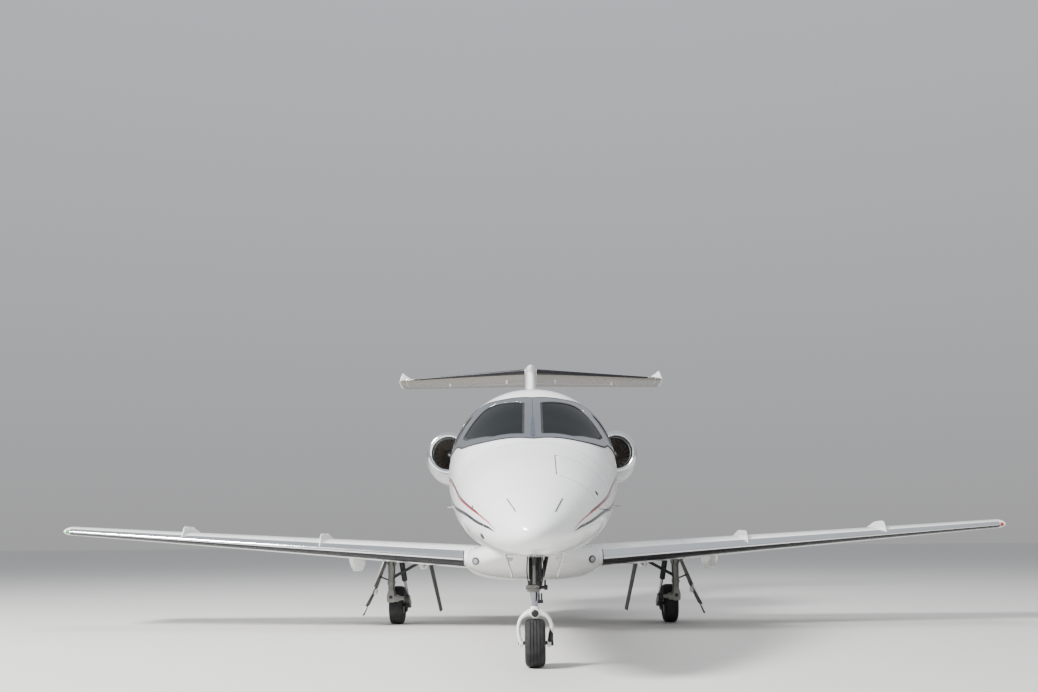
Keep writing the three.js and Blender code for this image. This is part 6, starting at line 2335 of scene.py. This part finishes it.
    def build(self) -> None:
        """Builds the nose gear's pieces."""
        self.fork()
        self.leg()
        dress(["nose_gear_door_left", "nose_gear_door_right"], GEAR_WHITE)
        Wheel(
            "nose", "nose_wheel", ("nose_hub", "nose_tyre"), (0.0, self.station, self.axle), 0.203, 0.089,
            0.100,
            (-0.042, -0.014, 0.014, 0.042), 6,
        ).build()


@dataclass
class MainGear:
    """One main gear: leg, trailing arm, shock absorber, brake, doors and wheel."""

    side: Side
    leg_x: float = 1.880
    leg_station: float = 6.298
    arm_x: float = 1.676
    pivot_height: float = 0.352
    axle: tuple[float, float, float] = (1.834, 6.630, 0.250)
    # Profiles of turned parts, as the share of the way and the radius
    strut: Outline = (
        (0, 0.036), (0.03, 0.042), (0.24, 0.044), (0.28, 0.054), (0.34, 0.054), (0.38, 0.046), (0.80, 0.048),
        (0.86, 0.062), (1, 0.062),
    )
    pivot: Outline = ((0, 0.046), (0.40, 0.046), (0.43, 0.036), (0.55, 0.0255), (1, 0.0255))
    cylinder: Outline = ((0, 0.030), (0.04, 0.037), (0.9, 0.037), (1, 0.032))
    brake: Outline = ((0, 0.086), (0.15, 0.092), (0.85, 0.092), (1, 0.086))
    # The outer door's middle, as height and X
    door: Outline = ((0.135, 2.245), (0.250, 2.200), (0.262, 2.195), (0.505, 2.085), (0.838, 1.965))

    def leg(self) -> None:
        """Makes the fixed leg with its fork-like foot, and the side brace."""
        x, s, height = self.leg_x, self.leg_station, self.pivot_height
        leg = spindle(place(x, s, 0.410), place(x, s + 0.02, 0.86), self.strut, 36)
        plate = rounded([(x + 0.052, 0.300), (x + 0.056, 0.395), (x + 0.03, 0.470), (x - 0.03, 0.470),
                         (x - 0.060, 0.395), (x - 0.052, 0.300)], 0.03)
        foot = [
            prism(plate, "y", s - 0.055, s + 0.05),
            spindle(place(x, s, height), place(self.arm_x - 0.034, s, height), self.pivot, 32),
        ]
        strut = Patch.joined([leg, *foot])
        make_on(self.side, "main_leg_strut", strut, GEAR_GREY, "grey_gear", stands_for="main_leg",
                sharp=GEAR_SHARP)
        near = x - 0.02
        dark = [
            *rods([(near, 0, 0.622, 1.50, 0.012, 0.82, 0.020),
                   (near, -0.02, 0.622, near, 0.02, 0.622, 0.03)], s),
            spindle(place(x, s - 0.054, 0.370), place(x, s - 0.058, 0.370), [(0, 0.024), (1, 0.022)], 24),
        ]
        make_on(self.side, "side_brace", Patch.joined(dark), GEAR_DARK, "engine_metal", sharp=GEAR_SHARP)
        rows = ((-0.05, -0.065, 0.38), (-0.035, -0.07, 0.55), (-0.04, -0.065, 0.72), (-0.02, -0.05, 0.84))
        hose = tube(smooth_path([place(x + across, s + along, z) for across, along, z in rows], 30), 0.006,
                    12)
        make_on(self.side, "brake_lines", hose, BLACK, "panel_dark", sharp=BEND_SHARP)

    def inboard(self, middles: Array) -> Array:
        """Faces of the outer door that look inboard, painted dark as shade: those inside its plate's middle
        at their height.
        """
        return np.abs(middles[:, 0]) < np.interp(middles[:, 2], *zip(*self.door)) - 0.003

    def arm(self) -> None:
        """Makes the trailing arm, axle, brake with its cylinders, and the shock absorber."""
        x, s, height = self.arm_x, self.leg_station, self.pivot_height
        ax, astation, az = self.axle
        outline = rounded([
            (s - 0.045, 0.330), (s, 0.306), (s + 0.05, 0.305), (astation + 0.01, 0.205),
            (astation + 0.046, 0.230),
            (astation + 0.046, 0.272), (astation, 0.298), (s + 0.20, 0.368), (s, 0.400), (s - 0.045, 0.378),
        ], 0.03)
        parts = [
            prism(outline, "x", x - 0.024, x + 0.024),
            *rods([(x - 0.031, s, height, x + 0.031, s, height, 0.053)]),
            *rods([(x, astation, az, ax - 0.02, astation, az, 0.020)]),
            spindle(place(x + 0.042, s + 0.126, 0.570), place(x + 0.09, s + 0.08, 0.87), self.cylinder, 28),
        ]
        make_on(
            self.side, "trailing_arm", Patch.joined(parts), GEAR_DARK, "grey_gear",
            stands_for="main_trailing_arm",
            sharp=GEAR_SHARP, bevel=0.002,
        )
        shock = Patch.joined(rods([
            (x, 0.17, 0.350, x + 0.048, 0.12, 0.60, 0.018),
            (x - 0.03, 0.17, height, x + 0.03, 0.17, height, 0.026),
        ], s))
        make_on(self.side, "shock_rod", shock, CHROME, "engine_metal", sharp=GEAR_SHARP)
        brake = [spindle(place(x + 0.024, astation, az), place(x + 0.048, astation, az), self.brake, 40)]
        for turn in circle(5):
            spot = place(x + 0.02, astation + 0.062 * math.cos(turn), az + 0.062 * math.sin(turn))
            brake.append(rod(spot, spot + (0.03, 0, 0), 0.018))
        make_on(self.side, "brake", Patch.joined(brake), GEAR_DARK, "engine_metal", sharp=GEAR_SHARP)

    def build(self) -> None:
        """Builds the gear's pieces."""
        self.leg()
        self.arm()
        name = self.side.name_of
        # The inboard faces of the outer door and the whole inner door are painted dark as shade
        dress([name("main_gear_door_outer")], GEAR_WHITE, DOOR_PAINTED_SHADE, self.inboard)
        dress([name("main_gear_door_inner")], DOOR_PAINTED_SHADE)
        bulge = Body((
            (6.18, 0.004, 0.43, 0.42), (6.22, 0.022, 0.475, 0.40), (6.34, 0.022, 0.48, 0.40),
            (6.40, 0.004, 0.44, 0.43),
        ), 2.2, centre=2.088)
        make_on(self.side, "door_bulge", bulge.pod(6.18, 6.40), GEAR_WHITE, "gear_white", sharp=SKIN_SHARP)
        centre = (self.axle[0] * self.side.value, self.axle[1], self.axle[2])
        Wheel(
            name("main"), name("main_wheel"), (name("main_hub"), name("main_tyre")), centre, 0.250, 0.098,
            0.128,
            (-0.045, -0.015, 0.015, 0.045), 8,
        ).build()


# Cabin


@dataclass
class Pad:
    """A padded cushion: a rounded block that cloth swells, copied wherever the seats need one."""

    name: str
    size: tuple[float, float, float]
    swell: float = 0.012
    voxel: float = 0.012

    def block(self) -> Patch:
        """A superellipsoid: each half size times the cosines and sines of two angles to small powers.

        Returns:
            The closed cushion before it swells.
        """
        turn = np.linspace(-np.pi, np.pi, 49)[:-1][None]
        rise = np.linspace(-np.pi / 2, np.pi / 2, 25)[:, None]
        level = signed_power(np.cos(rise), 0.35)
        x = level * signed_power(np.cos(turn), 0.3)
        y = level * signed_power(np.sin(turn), 0.3)
        z = signed_power(np.sin(rise), 0.5) + 0 * turn
        points = np.stack([x, y, z], axis=-1) * (np.array(self.size) / 2 - self.swell * 0.4)
        return Patch.solid(points).welded().outward()

    def swollen(self) -> Mesh:
        """The block after a voxel remesh and twenty steps of cloth under pressure, its moves capped.

        Returns:
            The cushion's mesh.
        """
        data = self.block().mesh(self.name)
        piece = placed(self.name, data)
        mesher = piece.modifiers.new("voxels", "REMESH")
        mesher.mode, mesher.voxel_size, mesher.use_smooth_shade = "VOXEL", self.voxel, True
        base = bpy.data.meshes.new_from_object(piece.evaluated_get(bpy.context.evaluated_depsgraph_get()))
        piece.modifiers.clear()
        piece.data = base
        start = np.empty(len(base.vertices) * 3)
        base.vertices.foreach_get("co", start)
        final = start.copy()
        cloth = piece.modifiers.new("cloth", "CLOTH")
        cloth.settings.use_pressure, cloth.settings.uniform_pressure_force = True, 4.0
        cloth.settings.effector_weights.gravity = 0.0
        scene = bpy.context.scene
        for step in range(1, 21):
            scene.frame_set(step)
        moved = piece.evaluated_get(bpy.context.evaluated_depsgraph_get()).to_mesh()
        moved.vertices.foreach_get("co", final)
        scene.frame_set(1)
        piece.modifiers.clear()
        move = (final - start).reshape(-1, 3)
        size = np.linalg.norm(move, axis=1, keepdims=True)
        share = np.minimum(1, self.swell / np.maximum(size, LEAST_LENGTH))
        base.vertices.foreach_set("co", (start.reshape(-1, 3) + move * share).ravel())
        base.polygons.foreach_set("use_smooth", np.ones(len(base.polygons), bool))
        bpy.data.objects.remove(piece)
        return base


@dataclass
class Cabin:
    """Seats, instrument panel and linings."""

    pilots: tuple[tuple[float, float], ...] = ((0.33, 2.98), (-0.33, 2.98))
    cabin: tuple[tuple[float, float, int], ...] = (
        (0.40, 4.64, -1), (-0.40, 4.64, -1), (0.40, 6.00, 1), (-0.40, 6.00, 1),
    )
    floor: float = 1.141
    # A yoke's grip: across from its middle, and height
    grip: Outline = ((-0.13, 1.80), (-0.12, 1.73), (0, 1.70), (0.12, 1.73), (0.13, 1.80))

    def __post_init__(self) -> None:
        """Notes each cushion's size."""
        self.sizes = {"cushion": (0.46, 0.50, 0.13), "back": (0.42, 0.105, 0.60), "head": (0.27, 0.09, 0.17)}

    def seat(self, name: str, x: float, station: float, facing: int, z: float, pads: dict[str, Mesh]) -> None:
        """Makes one seat from copies of the pads, with its piping.

        Args:
            name: the seat's name.
            x: its X.
            station: its middle.
            facing: 1 towards the nose, -1 aft.
            z: height of its cushion's top.
            pads: the swollen pads by name.
        """
        lean = Matrix.Rotation(-facing * math.radians(9), 4, "X")
        places = (
            ("cushion", Matrix.Translation(place(x, station, z - 0.065)), (0, 1)),
            ("back", Matrix.Translation(place(x, station + facing * 0.285, z + 0.285)) @ lean, (0, 2)),
            ("head", Matrix.Translation(place(x, station + facing * 0.335, z + 0.665)) @ lean, (0, 2)),
        )
        cords = []
        angle = np.linspace(0, 2 * np.pi, 61)
        for kind, where, (across, up) in places:
            size = np.array(self.sizes[kind]) / 2 + 0.002
            loop = np.zeros((61, 3))
            loop[:, across] = size[across] * signed_power(np.cos(angle), 0.3)
            loop[:, up] = size[up] * signed_power(np.sin(angle), 0.3)
            cords.append(tube(loop @ np.array(where.to_3x3()).T + np.array(where.translation), 0.0055, 8))
            data = pads[kind].copy()
            data.transform(where)
            data.materials.append(CREAM.material())
            piece = placed(f"{name}_{kind}", data)
            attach(piece, "airframe")
            smooth = piece.modifiers.new("smooth", "SUBSURF")
            smooth.levels = smooth.render_levels = 1
            log.info("made %s", piece.name)
        make(f"{name}_piping", Patch.joined(cords), PIPING, "leather", sharp=CAP_SHARP)

    def build(self) -> None:
        """Builds the cabin's pieces."""
        pads = {kind: Pad(kind, size).swollen() for kind, size in self.sizes.items()}
        frames = []
        rows = [(f"pilot_seat_{k + 1}", x, s, 1, 1.49) for k, (x, s) in enumerate(self.pilots)]
        rows += [(f"cabin_seat_{k + 1}", x, s, f, 1.54) for k, (x, s, f) in enumerate(self.cabin)]
        for name, x, station, facing, z in rows:
            self.seat(name, x, station, facing, z, pads)
            foot = math.copysign(0.35, x)
            under = z - 0.125
            frames += [
                block((foot - 0.085, station - 0.17, self.floor), (foot + 0.085, station + 0.17, under)),
                block((x - 0.2, station - 0.2, under - 0.025), (x + 0.2, station + 0.2, under)),
            ]
        half = len(self.pilots) * 2
        for kind, blocks in (("pilot", frames[:half]), ("cabin", frames[half:])):
            bases = Patch.joined(blocks)
            make(f"{kind}_seat_bases", bases, BLACK, "panel_dark", bevel=0.006, stands_for=[f"{kind}_seats"])
        dress(["cabin_floor"], CARPET)
        dress(["instrument_panel"], COVER)
        face = [block((x - 0.12, 2.388, 1.765), (x + 0.12, 2.396, 1.90)) for x in (-0.42, -0.14, 0.14, 0.42)]
        make("panel_screens", Patch.joined(face), SCREEN, "panel_dark", bevel=0.003)
        yokes = []
        for x in (-0.33, 0.33):
            column = tube([place(x, 2.38, 1.72), place(x, 2.52, 1.715)], 0.014)
            grip = smooth_path([place(x + across, 2.53, z) for across, z in self.grip], 30)
            yokes += [column, tube(grip, 0.013)]
        make("yokes", Patch.joined(yokes), BLACK, "panel_dark", sharp=BEND_SHARP)


# Stage and camera


@dataclass
class Stage:
    """A pale floor, a soft pale surround and large soft lights."""

    camera_at: tuple[float, float, float] = (-0.031, -14.597, 1.044)
    focal: float = 1068.88
    picture: tuple[int, int] = (1038, 692)
    pitch: float = 0.1832
    yaw: float = -0.0093
    roll: float = -0.008
    sensor: float = 36.0
    floor_half: float = 400.0
    floor_drop: float = 0.002
    aim: Point = (0, 0, 1.6)
    lamps: tuple[tuple[str, Color, float, float], ...] = (
        # name, place, width, watts
        ("key", (-13.0, -13.0, 14.0), 5.0, 12500.0),
        ("fill", (15.0, -9.0, 10.0), 10.0, 500.0),
        ("top", (0.0, 3.0, 22.0), 16.0, 3000.0),
    )
    # Where the surround's two colours stand between the ground and straight up
    surround: tuple[tuple[float, tuple[float, ...]], ...] = (
        (0.0, (0.56, 0.56, 0.57, 1)), (0.6, (0.84, 0.88, 0.94, 1)),
    )

    def floor(self) -> None:
        """Makes the floor: a wide square just under the tyres, with a faint mottle."""
        corners = np.array([(-1, -1, 0), (1, -1, 0), (1, 1, 0), (-1, 1, 0)]) * self.floor_half
        corners -= (0, 0, self.floor_drop)
        data = Patch(corners, [np.array([[0, 1, 2, 3]])]).mesh("floor")
        data.materials.append(Finish("studio_floor", (0.56, 0.55, 0.53), 0.75, spread=0.03).material())
        placed("floor", data)

    def lights(self) -> None:
        """Makes the surround and the lights: the main one from camera left, the others high and wide."""
        world = bpy.data.worlds.new("surround")
        bpy.context.scene.world = world
        world.use_nodes = True
        tree = world.node_tree
        where = tree.nodes.new("ShaderNodeTexCoord")
        split = tree.nodes.new("ShaderNodeSeparateXYZ")
        ramp = tree.nodes.new("ShaderNodeValToRGB")
        tree.links.new(where.outputs["Generated"], split.inputs[0])
        tree.links.new(split.outputs["Z"], ramp.inputs[0])
        tree.links.new(ramp.outputs[0], tree.nodes["Background"].inputs["Color"])
        for stop, (position, color) in zip(ramp.color_ramp.elements, self.surround):
            stop.position, stop.color = position, color
        tree.nodes["Background"].inputs["Strength"].default_value = 0.72
        for name, spot, size, power in self.lamps:
            data = bpy.data.lights.new(name, "AREA")
            data.size, data.energy = size, power
            lamp = placed(name, data)
            aim = Vector(self.aim) - Vector(spot)
            lamp.visible_glossy = name == "key"
            lamp.matrix_world = Matrix.Translation(spot) @ aim.to_track_quat("-Z", "Y").to_matrix().to_4x4()

    def camera(self) -> None:
        """Makes the camera where the photograph was taken from: its turn is yaw, pitch and then roll."""
        data = bpy.data.cameras.new("camera")
        data.sensor_width = self.sensor
        data.lens = self.focal / self.picture[0] * self.sensor
        camera = placed("camera", data)
        yaw, pitch, roll = self.yaw, self.pitch, self.roll
        ahead = np.array([math.sin(yaw) * math.cos(pitch), math.cos(yaw) * math.cos(pitch), math.sin(pitch)])
        right = np.array([math.cos(yaw), -math.sin(yaw), 0.0])
        up = np.cross(right, ahead)
        cosine, sine = math.cos(roll), math.sin(roll)
        right, up = cosine * right + sine * up, cosine * up - sine * right
        turn = np.eye(4)
        turn[:3, :3] = np.stack([right, up, -ahead], axis=1)
        turn[:3, 3] = self.camera_at
        camera.matrix_world = Matrix(turn.tolist())
        bpy.context.scene.camera = camera

    def build(self) -> None:
        """Builds the stage."""
        self.camera()
        self.floor()
        self.lights()


def main() -> None:
    """Loads the solids and builds every sub-assembly around them."""
    logging.basicConfig(level=logging.INFO, format="%(message)s")
    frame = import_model()
    NODES.update(frame["nodes"])
    parts = [
        Stage(), Fuselage(), *(Wing(side) for side in Side), Tail(), *(Engine(side) for side in Side),
        NoseGear(),
        *(MainGear(side) for side in Side), Cabin(),
    ]
    for part in parts:
        part.build()
        log.info("built %s", type(part).__name__)


if __name__ == "__main__":
    main()
